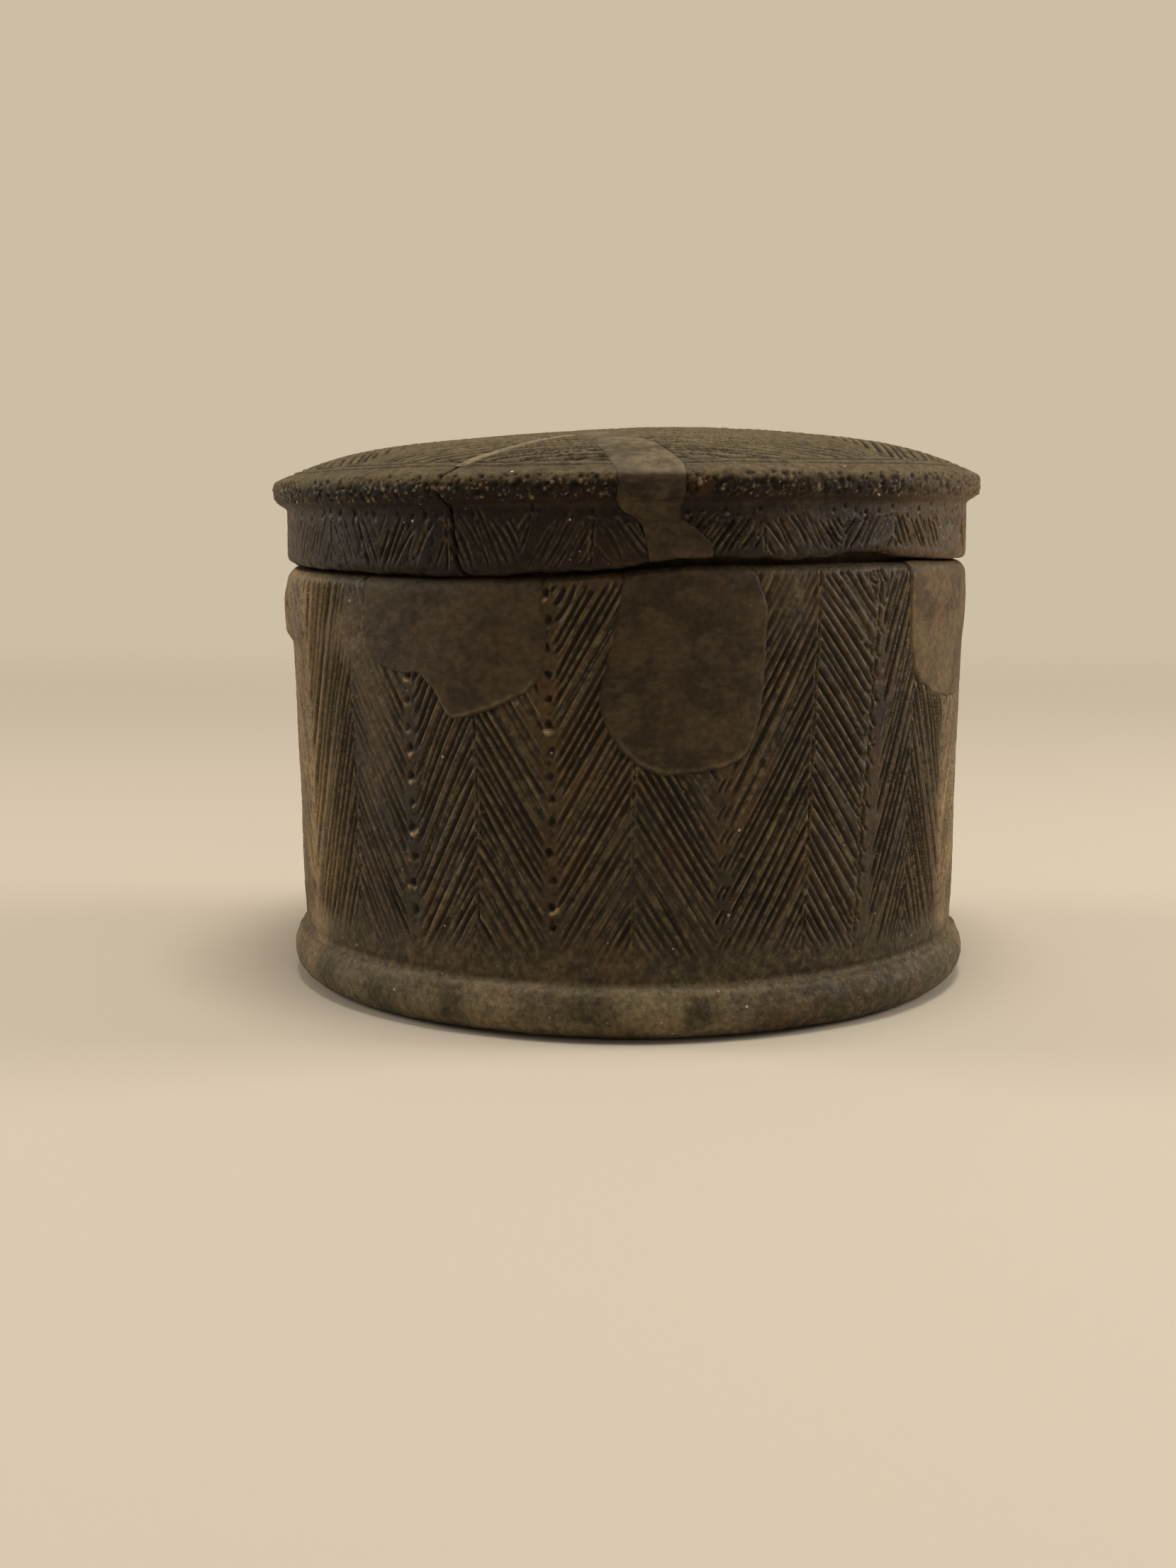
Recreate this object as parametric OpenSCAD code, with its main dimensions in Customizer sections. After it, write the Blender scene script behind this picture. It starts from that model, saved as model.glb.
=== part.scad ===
// Round lidded box of dark fired clay, built by hand: a flanged pot with an inset neck, and a domed lid
// whose skirt drops over that neck. Both are mended: the pot holds three plugs of plaster, and the lid holds
// a broken-out sherd, a wide plaster fill and a thin plaster joint. The back of the box is +Y, up is +Z,
// lengths are millimetres. Angles round the box are counted from the front (-Y) towards +X.

/* [Pot] */
// Radius of the wall just above the base flange
wall_foot_r = 52.9; // [45:0.1:65]
// How much farther out the wall is at its shoulder
wall_flare = 1.4; // [0:0.1:3]
// Thickness of the wall just above the base flange
wall_t = 6.1; // [5:0.1:8]
// Height of the shoulder above the surface that the pot stands on
shoulder_z = 65.9; // [60:0.1:90]
// Radius of the rounded edge of the shoulder
shoulder_round = 2; // [0.5:0.1:3]
// Thickness of the floor
floor_t = 7; // [4:0.1:10]
// Radius of the hollow corner between floor and wall
cavity_round = 3; // [1:0.1:8]

/* [Base flange] */
// How far the flange stands out past the foot of the wall
flange_out = 2.1; // [1:0.1:4]
// Height of the flange, which is a half round
flange_h = 8.2; // [4:0.1:12]

/* [Side swellings] */
// Angle of the left swelling
left_swelling_angle = -92; // [-110:1:-75]
// How far the left swelling stands out past the wall
left_swelling_out = 1.3; // [0.5:0.1:2]
// Radius of the ball that the left swelling is a part of
left_swelling_ball_r = 14; // [10:0.5:30]
// Angle of the right swelling, on the plaster at that side
right_swelling_angle = 96; // [90:1:110]
// How far the right swelling stands out past the wall
right_swelling_out = 0.8; // [0.4:0.1:2]
// Radius of the ball that the right swelling is a part of
right_swelling_ball_r = 26; // [10:0.5:30]
// Depth of both swellings' middles below the shoulder
swelling_drop = 7; // [5:0.1:12]

/* [Neck] */
// Height of the neck above the shoulder
neck_h = 8.4; // [5:0.1:12]
// Thickness of the neck
neck_t = 3.3; // [2.5:0.1:4]
// Thickness of the clay left under the neck where a plug passes below it
neck_ledge_t = 1.5; // [1:0.1:3]
// Width of the clay left round the foot of the neck above a plug
neck_ledge_w = 0.9; // [0.5:0.1:1.5]
// Radius of the neck's rounded top edges
neck_round = 0.8; // [0.2:0.1:1.1]

/* [Plugs] */
// Height of the left plug
left_plug_h = 20.3; // [10:0.1:40]
// Height of the front plug
front_plug_h = 28; // [10:0.1:40]
// Height of the right plug
right_plug_h = 20.2; // [10:0.1:40]

/* [Lid] */
// Radial clearance between the neck and the lid's skirt
lid_fit = 0.7; // [0.3:0.05:1.5]
// Open height between the shoulder and the skirt
seam_h = 1; // [0.4:0.05:2]
// Open height between the top of the neck and the lid's seat
seat_gap = 0.2; // [0.1:0.05:0.4]
// Thickness of the skirt
skirt_t = 3.6; // [3:0.1:5]
// Radius of the rounded lower edge of the skirt
skirt_round = 0.9; // [0.3:0.1:1.4]
// How far the rim stands out past the skirt
rim_out = 2.2; // [1:0.1:3]
// Height of the rim's widest line above the lid's seat
rim_up = 2.8; // [2.4:0.1:5]
// Radius of the rounded rim
rim_round = 2.4; // [2:0.1:3]
// Height of the top of the dome above the rim's widest line
dome_rise = 9.5; // [8:0.1:14]
// Radius of the broad arc over the middle of the dome
crown_arc_r = 300; // [200:5:400]
// How far from the axis the broad arc reaches
crown_reach = 38; // [30:0.5:42]
// Thickness of the dome at its middle
dome_t = 6; // [4:0.1:7.5]

/* [Dome lines] */
// Distance between the main incised lines in each of the dome's four fields
dome_line_gap = 9.2; // [8:0.1:10]
// Distance of the first line from the axis
dome_line_first = 6.2; // [5:0.1:8]
// Width of an incised line
dome_line_w = 1.2; // [0.6:0.1:2]
// Depth of an incised line
dome_line_cut = 0.6; // [0.3:0.05:1]
// How far the lines stop short of the corners between the fields
dome_line_end = 2; // [1.5:0.1:4]
// How far inside the rim the lines end
dome_line_margin = 4.8; // [4:0.1:8]

/* [Lid mends] */
// Side shift of the sherd's tip, where its two breaks meet on the dome
sherd_tip_x = -7.4; // [-12:0.1:-4]
// Distance of the sherd's tip in front of the axis
sherd_tip_front = 31.7; // [26:0.1:36]
// Angle at which the left break crosses the rim
left_break_angle = -24.7; // [-35:0.1:-18]
// Open width of the left break in rim and skirt
break_w = 0.5; // [0.2:0.05:0.8]
// Width of the plaster joint over the left break
joint_w = 1.4; // [1:0.1:3]
// How far inside the rim the plaster joint ends
joint_end_in = 2.2; // [1:0.1:4]
// Angle of the plaster fill's left edge at the rim
fill_left_angle = 1; // [-4:0.1:3]
// Angle of the plaster fill's right edge at the rim
fill_right_angle = 8.4; // [6:0.1:14]
// Width of the plaster fill at its inner end
fill_inner_w = 6.5; // [3:0.1:8]
// How far the plaster fill runs inward past the sherd's tip
fill_tail = 5; // [2:0.1:10]
// Left edge of the plaster patch in the skirt
patch_left_x = 2.8; // [2:0.1:5]
// Width of the plaster patch in the skirt
patch_w = 9; // [7:0.1:14]
// Height of the patch's top above the shoulder
patch_top_up = 6.5; // [4:0.1:7.5]

/* [Colours] */
// Colour of the pot's clay
pot_colour = "#4a3b31";
// Colour of the lid's clay
lid_colour = "#57473a";
// Colour of the sherd set back in the lid
sherd_colour = "#4d4136";
// Colour of the plaster
plaster_colour = "#6b5a43";

/* [Hidden] */
$fn = 240;

// How much farther back the skirt lies at the patch's outer edge than at the front
patch_sagitta = 2;
wall_steps = 6;
edge_steps = 4;
rim_steps = 12;
dome_steps = 6;
dome_line_rows = 5;
wall_curve = 1.7;
// How far cutting shapes run out past what they cut
beyond = 8;
// How far joined shapes run into each other
overlap = 1;
// Turn of the lid's seam, which keeps it between two fields of dome lines
lid_seam_turn = 135;
// Inner corners of the plaster fill, as shares of its inner width and of its tail
tail_left = [0.2, 0.8];
tail_right = [0.7, 1];
wall_top_r = wall_foot_r + wall_flare;
cavity_r = wall_foot_r - wall_t;
rim_r = cavity_r + neck_t + lid_fit + skirt_t + rim_out;
flange_r = flange_h / 2;
neck_r = cavity_r + neck_t;
neck_top_z = shoulder_z + neck_h;
skirt_in_r = neck_r + lid_fit;
skirt_out_r = skirt_in_r + skirt_t;
skirt_z = shoulder_z + seam_h;
seat_z = neck_top_z + seat_gap;
rim_z = seat_z + rim_up;
dome_z = rim_z + dome_rise;

// Plug outlines as [angle from the front, depth below the shoulder as a share of the plug's height],
// clockwise from the upper left. Each runs out over the shoulder, where the wall ends.
LEFT_PLUG = [
    [-43.8, -0.15], [-11.3, -0.15], [-11.3, 0.4], [-13, 0.66], [-16.2, 0.85], [-22.3, 0.96],
    [-27.6, 1], [-31.2, 0.8], [-36, 0.69], [-42, 0.62], [-44, 0.34]
];
FRONT_PLUG = [
    [-0.6, -0.1], [17, -0.1], [19.4, 0.08], [21.1, 0.23], [20.9, 0.46], [20, 0.76], [17.7, 0.92],
    [14.1, 0.97], [8, 1], [3.3, 0.98], [-0.6, 0.88], [-3.7, 0.69], [-3.3, 0.54], [-1.8, 0.31]
];
RIGHT_PLUG = [
    [50, -0.15], [84, -0.15], [84, 0.79], [78, 0.96], [68, 1], [58.3, 0.94], [52.2, 0.78], [50.3, 0.51]
];

// The break lines of the lid, seen from above.
sherd_tip = [sherd_tip_x, -sherd_tip_front];
left_break_rim = ray(left_break_angle, rim_r);
left_break_dir = (left_break_rim - sherd_tip) / norm(left_break_rim - sherd_tip);
left_break_yaw = atan2(left_break_dir.y, left_break_dir.x);
break_l = norm(left_break_rim - sherd_tip) + beyond;
joint_l = norm(left_break_rim - sherd_tip) - joint_end_in;
sherd_right_foot = [patch_left_x, overlap - skirt_in_r];

// The point at a radius in the direction of an angle from the front.
function ray(angle, radius) = [radius * sin(angle), -radius * cos(angle)];

// The outer radius of the wall at a height, given as a share of the shoulder's height.
function wall_r(share) = wall_foot_r + (wall_top_r - wall_foot_r) * pow(share, wall_curve);

// A disc in the profile plane, for a rounded edge.
module edge_round(r, x, z) {
    translate([x, z])
        circle(r);
}

// The outside of the pot below its neck, as half a profile.
module pot_outline() {
    edge_z = shoulder_z - shoulder_round;
    polygon(concat(
        [[0, 0], [wall_foot_r + flange_out - flange_r, 0], [wall_foot_r, flange_r]],
        [for (i = [0:wall_steps])
            let (z = flange_r + (edge_z - flange_r) * i / wall_steps)
            [wall_r(z / shoulder_z), z]],
        [[wall_r(edge_z / shoulder_z) - shoulder_round, shoulder_z], [0, shoulder_z]]
    ));
    edge_round(shoulder_round, wall_r(edge_z / shoulder_z) - shoulder_round, edge_z);
    edge_round(flange_r, wall_foot_r + flange_out - flange_r, flange_r);
}

// The neck, as half a profile.
module neck_outline() {
    translate([0, shoulder_z - overlap])
        square([neck_r, neck_h - neck_round + overlap]);
    square([neck_r - neck_round, neck_top_z]);
    edge_round(neck_round, neck_r - neck_round, neck_top_z - neck_round);
}

// The hollow of the pot, as half a profile.
module cavity_outline() {
    translate([0, floor_t])
        square([cavity_r - cavity_round, neck_top_z]);
    translate([0, floor_t + cavity_round])
        square([cavity_r, neck_top_z]);
    edge_round(cavity_round, cavity_r - cavity_round, floor_t + cavity_round);
}

// A low bump on the wall: the part of a ball that lies outside the middle of the wall.
module swelling(angle, out, ball_r) {
    z = shoulder_z - swelling_drop;
    foot = ray(angle, wall_r(z / shoulder_z) + out - ball_r);
    difference() {
        translate([foot.x, foot.y, z])
            sphere(ball_r);
        cylinder(h = shoulder_z + neck_h, r = (cavity_r + wall_foot_r) / 2);
    }
}

// The whole pot before anything was broken out of it.
module pot_form() {
    // The seam of the turned shape is kept at the back, away from the mends.
    rotate([0, 0, 180])
        rotate_extrude()
            difference() {
                union() {
                    pot_outline();
                    neck_outline();
                }
                cavity_outline();
            }
    intersection() {
        union() {
            swelling(left_swelling_angle, left_swelling_out, left_swelling_ball_r);
            swelling(right_swelling_angle, right_swelling_out, right_swelling_ball_r);
        }
        cylinder(h = shoulder_z - shoulder_round / 2, r = rim_r);
    }
}

// The space of a plug through the wall: its outline pushed straight outward at the middle of its angles.
// It leaves a narrow ledge of clay under the neck and round its foot.
module plug_space(outline, h) {
    angles = [for (p = outline) p[0]];
    middle = (min(angles) + max(angles)) / 2;
    flat = [for (p = outline) [wall_top_r * sin(p[0] - middle), shoulder_z - h * p[1]]];
    difference() {
        rotate([0, 0, middle])
            translate([0, -cavity_r + beyond, 0])
                rotate([90, 0, 0])
                    linear_extrude(wall_top_r - cavity_r + 2 * beyond)
                        polygon(flat);
        translate([0, 0, shoulder_z - neck_ledge_t])
            cylinder(h = neck_h + beyond, r = neck_r + neck_ledge_w);
    }
}

// One plaster plug, flush with the wall inside and out.
module plug(outline, h) {
    color(plaster_colour)
        intersection() {
            pot_form();
            plug_space(outline, h);
        }
}

// Points along an arc, from one angle to another, counted anticlockwise from +X in the profile plane.
function arc_points(centre, r, from, to, steps) =
    [for (i = [0:steps])
        let (a = from + (to - from) * i / steps)
        centre + r * [cos(a), sin(a)]];

// The outside of the lid, as half a profile: skirt, rounded rim and dome, with no corner between the last
// two.
module lid_outline() {
    rim_centre = [rim_r - rim_round, rim_z];
    crown_centre = [0, dome_z - crown_arc_r];
    crown_tilt = asin(crown_reach / crown_arc_r);
    crown_foot = crown_centre + crown_arc_r * [sin(crown_tilt), cos(crown_tilt)];
    crown_normal = [sin(crown_tilt), cos(crown_tilt)];
    span = crown_foot - rim_centre;
    side_arc_r = (span * span - rim_round * rim_round) / (2 * (span * crown_normal - rim_round));
    side_centre = crown_foot - side_arc_r * crown_normal;
    side_tilt = atan2(rim_centre.x - side_centre.x, rim_centre.y - side_centre.y);
    under_rim = asin((skirt_out_r - rim_centre.x) / rim_round);
    polygon(concat(
        [[0, skirt_z]],
        arc_points([skirt_out_r - skirt_round, skirt_z + skirt_round], skirt_round, -90, 0, edge_steps),
        arc_points(rim_centre, rim_round, under_rim - 90, 90 - side_tilt, rim_steps),
        arc_points(side_centre, side_arc_r, 90 - side_tilt, 90 - crown_tilt, dome_steps),
        arc_points(crown_centre, crown_arc_r, 90 - crown_tilt, 90, dome_steps)
    ));
}

// The whole lid before it broke.
module lid_form() {
    ceiling_drop = dome_z - dome_t - seat_z;
    ceiling_r = (cavity_r * cavity_r / ceiling_drop + ceiling_drop) / 2;
    // The seam of the turned shape runs between two fields of dome lines, away from the mends.
    rotate([0, 0, lid_seam_turn])
        rotate_extrude()
            difference() {
                lid_outline();
                square([skirt_in_r, seat_z]);
                intersection() {
                    edge_round(ceiling_r, 0, dome_z - dome_t - ceiling_r);
                    translate([0, seat_z - overlap])
                        square([cavity_r, dome_rise + rim_up + overlap]);
                }
            }
}

// The main incised lines of the dome: four fields of lines that lie along the rim, all cut to one depth.
module dome_lines() {
    reach = rim_r - dome_line_margin;
    difference() {
        translate([0, 0, seat_z])
            linear_extrude(dome_z - seat_z + beyond)
                for (turn = [0:90:270], row = [0:dome_line_rows - 1])
                    let (
                        y = dome_line_first + row * dome_line_gap,
                        half = min(y - dome_line_end, sqrt(reach * reach - y * y))
                    )
                    rotate(turn)
                        translate([-half, -y - dome_line_w / 2])
                            square([2 * half, dome_line_w]);
        translate([0, 0, -dome_line_cut])
            rotate([0, 0, lid_seam_turn])
                rotate_extrude()
                    lid_outline();
    }
}

// The space of the wide plaster fill: a band over dome and rim, and a patch in the skirt.
module lid_fill_space() {
    patch_top_z = shoulder_z + patch_top_up;
    translate([0, 0, patch_top_z])
        linear_extrude(dome_z - patch_top_z + beyond)
            polygon([
                sherd_tip,
                ray(fill_left_angle, rim_r + beyond),
                ray(fill_right_angle, rim_r + beyond),
                ray(fill_right_angle, rim_r - rim_round),
                sherd_tip + [fill_inner_w, 0],
                sherd_tip + [fill_inner_w * tail_right.x, fill_tail * tail_right.y],
                sherd_tip + [fill_inner_w * tail_left.x, fill_tail * tail_left.y]
            ]);
    translate([patch_left_x, -skirt_out_r - beyond, skirt_z - beyond])
        cube([patch_w, beyond + skirt_t + patch_sagitta, patch_top_z - skirt_z + beyond]);
}

// A slab along the left break of the lid, from the sherd's tip outward.
module break_slab(w, l, z, h) {
    translate([sherd_tip.x, sherd_tip.y, z])
        rotate([0, 0, left_break_yaw])
            translate([0, -w / 2, 0])
                cube([l, w, h]);
}

// The space of the thin plaster joint, through the thickness of the dome.
module lid_joint_space() {
    break_slab(joint_w, joint_l, seat_z, dome_z - seat_z + beyond);
}

// The wedge of the lid between its two breaks, out past the rim.
module sherd_space() {
    translate([0, 0, skirt_z - beyond])
        linear_extrude(dome_z - skirt_z + 2 * beyond)
            polygon([
                sherd_tip,
                sherd_tip + break_l * left_break_dir,
                [patch_left_x, -rim_r - beyond],
                sherd_right_foot
            ]);
}

module pot() {
    color(pot_colour)
        difference() {
            pot_form();
            plug_space(LEFT_PLUG, left_plug_h);
            plug_space(FRONT_PLUG, front_plug_h);
            plug_space(RIGHT_PLUG, right_plug_h);
        }
}

module lid() {
    color(lid_colour)
        difference() {
            lid_form();
            dome_lines();
            sherd_space();
            lid_fill_space();
            lid_joint_space();
            break_slab(break_w, break_l, skirt_z - beyond, dome_z - skirt_z + 2 * beyond);
        }
}

module lid_sherd() {
    color(sherd_colour)
        difference() {
            intersection() {
                lid_form();
                sherd_space();
            }
            dome_lines();
            lid_fill_space();
            lid_joint_space();
            break_slab(break_w, break_l, skirt_z - beyond, dome_z - skirt_z + 2 * beyond);
        }
}

module lid_fill() {
    color(plaster_colour)
        difference() {
            intersection() {
                lid_form();
                lid_fill_space();
            }
            lid_joint_space();
        }
}

module lid_joint() {
    color(plaster_colour)
        intersection() {
            lid_form();
            lid_joint_space();
        }
}

pot();
plug(LEFT_PLUG, left_plug_h);  // fill_left
plug(FRONT_PLUG, front_plug_h);  // fill_front
plug(RIGHT_PLUG, right_plug_h);  // fill_right
lid();
lid_sherd();
lid_fill();
lid_joint();
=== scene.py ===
"""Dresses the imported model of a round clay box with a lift-off lid.

The pot and the lid are dark fired clay with incised herringbone, and the gaps and joints are toned
plaster. Every surface is a turned form that is cut stroke by stroke. Lengths inside the mesh code are in
mm. Angles round the box are in degrees from the front, where the camera stands, and grow towards +X.
"""

import math

import bmesh
import bpy
import numpy as np
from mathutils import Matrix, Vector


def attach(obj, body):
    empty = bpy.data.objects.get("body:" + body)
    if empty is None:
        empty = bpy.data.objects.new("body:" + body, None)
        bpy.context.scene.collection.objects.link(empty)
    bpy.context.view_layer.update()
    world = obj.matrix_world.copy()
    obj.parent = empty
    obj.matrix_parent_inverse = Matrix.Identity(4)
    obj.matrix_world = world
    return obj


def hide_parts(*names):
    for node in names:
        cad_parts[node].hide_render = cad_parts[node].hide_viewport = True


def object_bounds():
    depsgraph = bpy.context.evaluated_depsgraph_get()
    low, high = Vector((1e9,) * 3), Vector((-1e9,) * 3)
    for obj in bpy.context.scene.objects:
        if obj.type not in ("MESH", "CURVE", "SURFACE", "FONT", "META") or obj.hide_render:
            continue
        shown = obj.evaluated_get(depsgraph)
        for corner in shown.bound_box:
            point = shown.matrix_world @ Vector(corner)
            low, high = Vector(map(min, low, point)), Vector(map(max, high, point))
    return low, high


bl_info = {
    "name": "Lidded clay box",
    "version": (1, 0, 0),
    "blender": (4, 5, 0),
    "location": "3D View > Sidebar > Clay box",
    "description": "Builds the incised clay pot, its lid and its plaster mends round the packed model",
    "category": "Add Mesh",
}

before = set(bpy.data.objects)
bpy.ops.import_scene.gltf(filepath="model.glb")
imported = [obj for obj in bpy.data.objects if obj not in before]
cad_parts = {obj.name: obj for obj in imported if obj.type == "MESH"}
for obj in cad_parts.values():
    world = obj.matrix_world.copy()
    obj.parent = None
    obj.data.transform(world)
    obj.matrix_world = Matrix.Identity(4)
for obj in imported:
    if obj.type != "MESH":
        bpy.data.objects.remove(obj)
CAD_BOX = [[float(value) for value in corner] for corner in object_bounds()]

# Half the columns and rows while things are tried out.
COARSE = 1

# Columns of vertices round the box where the marks are fine.
RING_COLUMNS = 1536

# The radius in mm that fills half the width of a bake chart seen from above.
PLAN_R = 57.5

# Angle and change of height in mm of the pot's shoulder and of the skirt's lower edge, which both dip and
# rise by hand.
SHOULDER_WAVE = (
    (-130, -0.3), (-84, -0.6), (-56, -1.1), (-24, -1.4), (-11, -1.05), (0, -0.3), (8, 0.35), (14, 0.6),
    (28, 0.7), (43, 0.85), (60, 0.7), (84, 0.4), (130, 0.2), (180, 0),
)
SKIRT_WAVE = (
    (-130, -0.4), (-84, -0.9), (-70, -1.35), (-56, -1.7), (-40, -1.75), (-27, -2.1), (-20, -2.0),
    (-10, -1.4), (-0.7, -0.9), (6, 0.3), (14, 0.8), (22, 0.35), (30, 0.3), (37, 1.1), (42, 1.15),
    (47, 0.45), (60, 0.1), (84, -0.3), (130, 0), (180, 0),
)

# Outlines of the plaster plugs: angle, and depth below the shoulder in mm. Above 0 they run out over the
# shoulder.
LEFT_PLUG = (
    (-43.8, -2.4), (-41, -2.5), (-30, -2.5), (-15, -2.5), (-12.3, -2.2), (-12.1, 0.5), (-12, 4),
    (-11.8, 8.1), (-12.6, 13), (-13.8, 15.4), (-17.4, 17.4), (-23.7, 19.9), (-27.4, 20.4), (-28.7, 18.7),
    (-30.1, 16.5), (-33.4, 13.7), (-36.4, 13.9), (-41.4, 12.8), (-43.9, 9.4), (-44, 6.9), (-43.9, 1),
)
FRONT_PLUG = (
    (-0.3, -2.3), (2, -2.5), (9, -2.5), (14.5, -2.5), (17.2, -1.4), (19.2, 1), (20.6, 3.8), (21.1, 6.8),
    (20.9, 12.9), (20, 21.3), (17.7, 25.8), (14.1, 27.2), (8, 28), (3.3, 27.4), (-0.6, 24.6), (-3.7, 19.3),
    (-3.3, 15.1), (-1.8, 8.7), (-0.5, 2),
)
RIGHT_PLUG = (
    (50, -2.3), (53, -2.5), (67, -2.5), (81, -2.5), (84, -2.2), (84.2, 6), (84, 16), (78, 19.4), (68, 20.2),
    (58.3, 19), (52.2, 15.8), (50.3, 10.3), (49.9, 4),
)

# Rows of stabs between the panels: angle at the top, angle at the foot, and the kind of mark. The first six
# are seen in the photograph. The rest are spaced like them.
DIVIDERS = (
    (-65.5, -65.5, "dash"), (-35.1, -35.1, "wedge"), (-11.4, -11.4, "wedge"), (14.7, 14.7, "slash"),
    (42.5, 38.2, "groove"), (64.4, 64.4, "dash"), (91, 90, "wedge"), (115.5, 116, "wedge"),
    (142, 140.5, "slash"), (167, 167.5, "wedge"), (192.5, 193, "dash"), (218.5, 217, "wedge"),
    (243, 244, "slash"), (269, 268.5, "wedge"),
)
# The spine of each panel: angle at the top and at the foot, then the lean of its strokes from upright on
# the left, at the top and the foot, and on the right.
SPINES = (
    (-48.6, -48.6, 20, 19, 30, 32), (-23.4, -23.4, 24, 31, 30, 34), (1.1, 1.1, 30, 31, 30, 33),
    (30.1, 28.4, 29, 30, 42, 29), (52.5, 51, 22, 22, 22, 20), (77.5, 78, 27, 28, 31, 30),
    (103.5, 102.5, 28, 26, 33, 31), (128.5, 128.5, 25, 28, 30, 33), (154, 154.5, 29, 27, 33, 30),
    (180, 179.5, 26, 28, 31, 32), (205, 206, 27, 26, 34, 31), (231, 230.5, 24, 28, 30, 33),
    (256, 256.5, 28, 27, 32, 31), (281.5, 281, 25, 26, 30, 31),
)
# Spines of the skirt's chevrons and, one after each, the angles where they meet.
SKIRT_SPINES = (-78, -52, -27, -4.5, 20.5, 45, 70, 97, 124, 151, 178, 205, 232, 257)
SKIRT_MEETS = (-65, -40, -15.5, 8.5, 34, 58, 83, 110, 137, 164, 191, 218, 245, 269)


def linear(code):
    """Turns an sRGB hex colour into the linear values that Blender's colour sockets take."""
    values = [int(code[start:start + 2], 16) / 255 for start in (1, 3, 5)]
    return [v / 12.92 if v <= 0.04045 else ((v + 0.055) / 1.055) ** 2.4 for v in values]


class PotSettings(bpy.types.PropertyGroup):
    foot_radius: bpy.props.FloatProperty(
        name="Foot radius", description="Radius of the wall just above the base flange", default=0.0529,
        unit="LENGTH"
    )
    flare: bpy.props.FloatProperty(
        name="Flare", description="How much wider the wall is at the shoulder", default=0.0014, unit="LENGTH"
    )
    flange_out: bpy.props.FloatProperty(
        name="Flange out", description="How far the base flange stands out", default=0.0021, unit="LENGTH"
    )
    flange_height: bpy.props.FloatProperty(
        name="Flange height", description="Height of the rounded base flange", default=0.0082, unit="LENGTH"
    )
    shoulder_height: bpy.props.FloatProperty(
        name="Shoulder height", description="Height of the shoulder that the lid sits above", default=0.0659,
        unit="LENGTH",
    )
    neck_radius: bpy.props.FloatProperty(
        name="Neck radius", description="Outer radius of the neck inside the lid", default=0.0501,
        unit="LENGTH"
    )
    cavity_radius: bpy.props.FloatProperty(
        name="Cavity radius", description="Radius of the hollow", default=0.0468, unit="LENGTH"
    )
    clay: bpy.props.FloatVectorProperty(
        name="Clay", description="Main colour of the pot's clay", subtype="COLOR", size=3,
        default=linear("#46361f")
    )


class StrokeSettings(bpy.types.PropertyGroup):
    period: bpy.props.FloatProperty(
        name="Period", description="Distance between strokes, square to them", default=0.00106, unit="LENGTH"
    )
    width: bpy.props.FloatProperty(
        name="Width", description="Width of one stroke", default=0.00088, unit="LENGTH"
    )
    depth: bpy.props.FloatProperty(
        name="Depth", description="Depth of one stroke", default=0.0004, unit="LENGTH"
    )
    stab_spacing: bpy.props.FloatProperty(
        name="Stab spacing", description="Distance between the stabs that divide the panels", default=0.0038,
        unit="LENGTH",
    )
    dome_period: bpy.props.FloatProperty(
        name="Dome period", description="Distance between the lines on the dome", default=0.00145,
        unit="LENGTH"
    )
    seed: bpy.props.IntProperty(
        name="Seed", description="Changes where the hand slipped", default=11
    )


class LidSettings(bpy.types.PropertyGroup):
    skirt_radius: bpy.props.FloatProperty(
        name="Skirt radius", description="Outer radius of the skirt", default=0.0544, unit="LENGTH"
    )
    skirt_inner_radius: bpy.props.FloatProperty(
        name="Skirt inner radius", description="Inner radius of the skirt", default=0.0508, unit="LENGTH"
    )
    skirt_height: bpy.props.FloatProperty(
        name="Skirt foot", description="Height of the skirt's lower edge", default=0.0669, unit="LENGTH"
    )
    rim_radius: bpy.props.FloatProperty(
        name="Rim radius", description="Outermost radius of the rim", default=0.0566, unit="LENGTH"
    )
    rim_height: bpy.props.FloatProperty(
        name="Rim height", description="Height of the middle of the rim", default=0.0773, unit="LENGTH"
    )
    dome_height: bpy.props.FloatProperty(
        name="Dome height", description="Height of the top of the dome", default=0.0868, unit="LENGTH"
    )
    crack: bpy.props.FloatProperty(
        name="Crack", description="Width of the open crack beside the sherd", default=0.0006, unit="LENGTH"
    )
    joint: bpy.props.FloatProperty(
        name="Joint", description="Width of the plaster joint over the dome", default=0.0018, unit="LENGTH"
    )
    # The lid's clay is set darker than the pot's: partly the clay, partly painted shade over the skirt under
    # the rim's overhang.
    clay: bpy.props.FloatVectorProperty(
        name="Clay", description="Main colour of the lid's clay", subtype="COLOR", size=3,
        default=linear("#2f2317")
    )


class PlasterSettings(bpy.types.PropertyGroup):
    proud: bpy.props.FloatProperty(
        name="Proud", description="How far the plaster stands out of the clay", default=0.0001, unit="LENGTH"
    )
    colour: bpy.props.FloatVectorProperty(
        name="Plaster", description="Main colour of the toned plaster", subtype="COLOR", size=3,
        default=linear("#443724"),
    )
    side_colour: bpy.props.FloatVectorProperty(
        name="Side plaster", description="Colour of the paler plaster at the side", subtype="COLOR", size=3,
        default=linear("#665338"),
    )


class StageSettings(bpy.types.PropertyGroup):
    lens: bpy.props.FloatProperty(
        name="Lens", description="Focal length for a frame 36 mm high", default=43.62, min=1
    )
    distance: bpy.props.FloatProperty(
        name="Distance", description="From the camera to the axis of the box", default=0.312, unit="LENGTH"
    )
    height: bpy.props.FloatProperty(
        name="Height", description="Height of the camera", default=0.0726, unit="LENGTH"
    )
    floor: bpy.props.FloatVectorProperty(
        name="Floor", description="Colour of the floor", subtype="COLOR", size=3, default=linear("#ccc0ad")
    )
    backdrop: bpy.props.FloatVectorProperty(
        name="Backdrop", description="Colour that the camera sees behind the box", subtype="COLOR", size=3,
        default=linear("#cdbea6"),
    )


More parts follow.
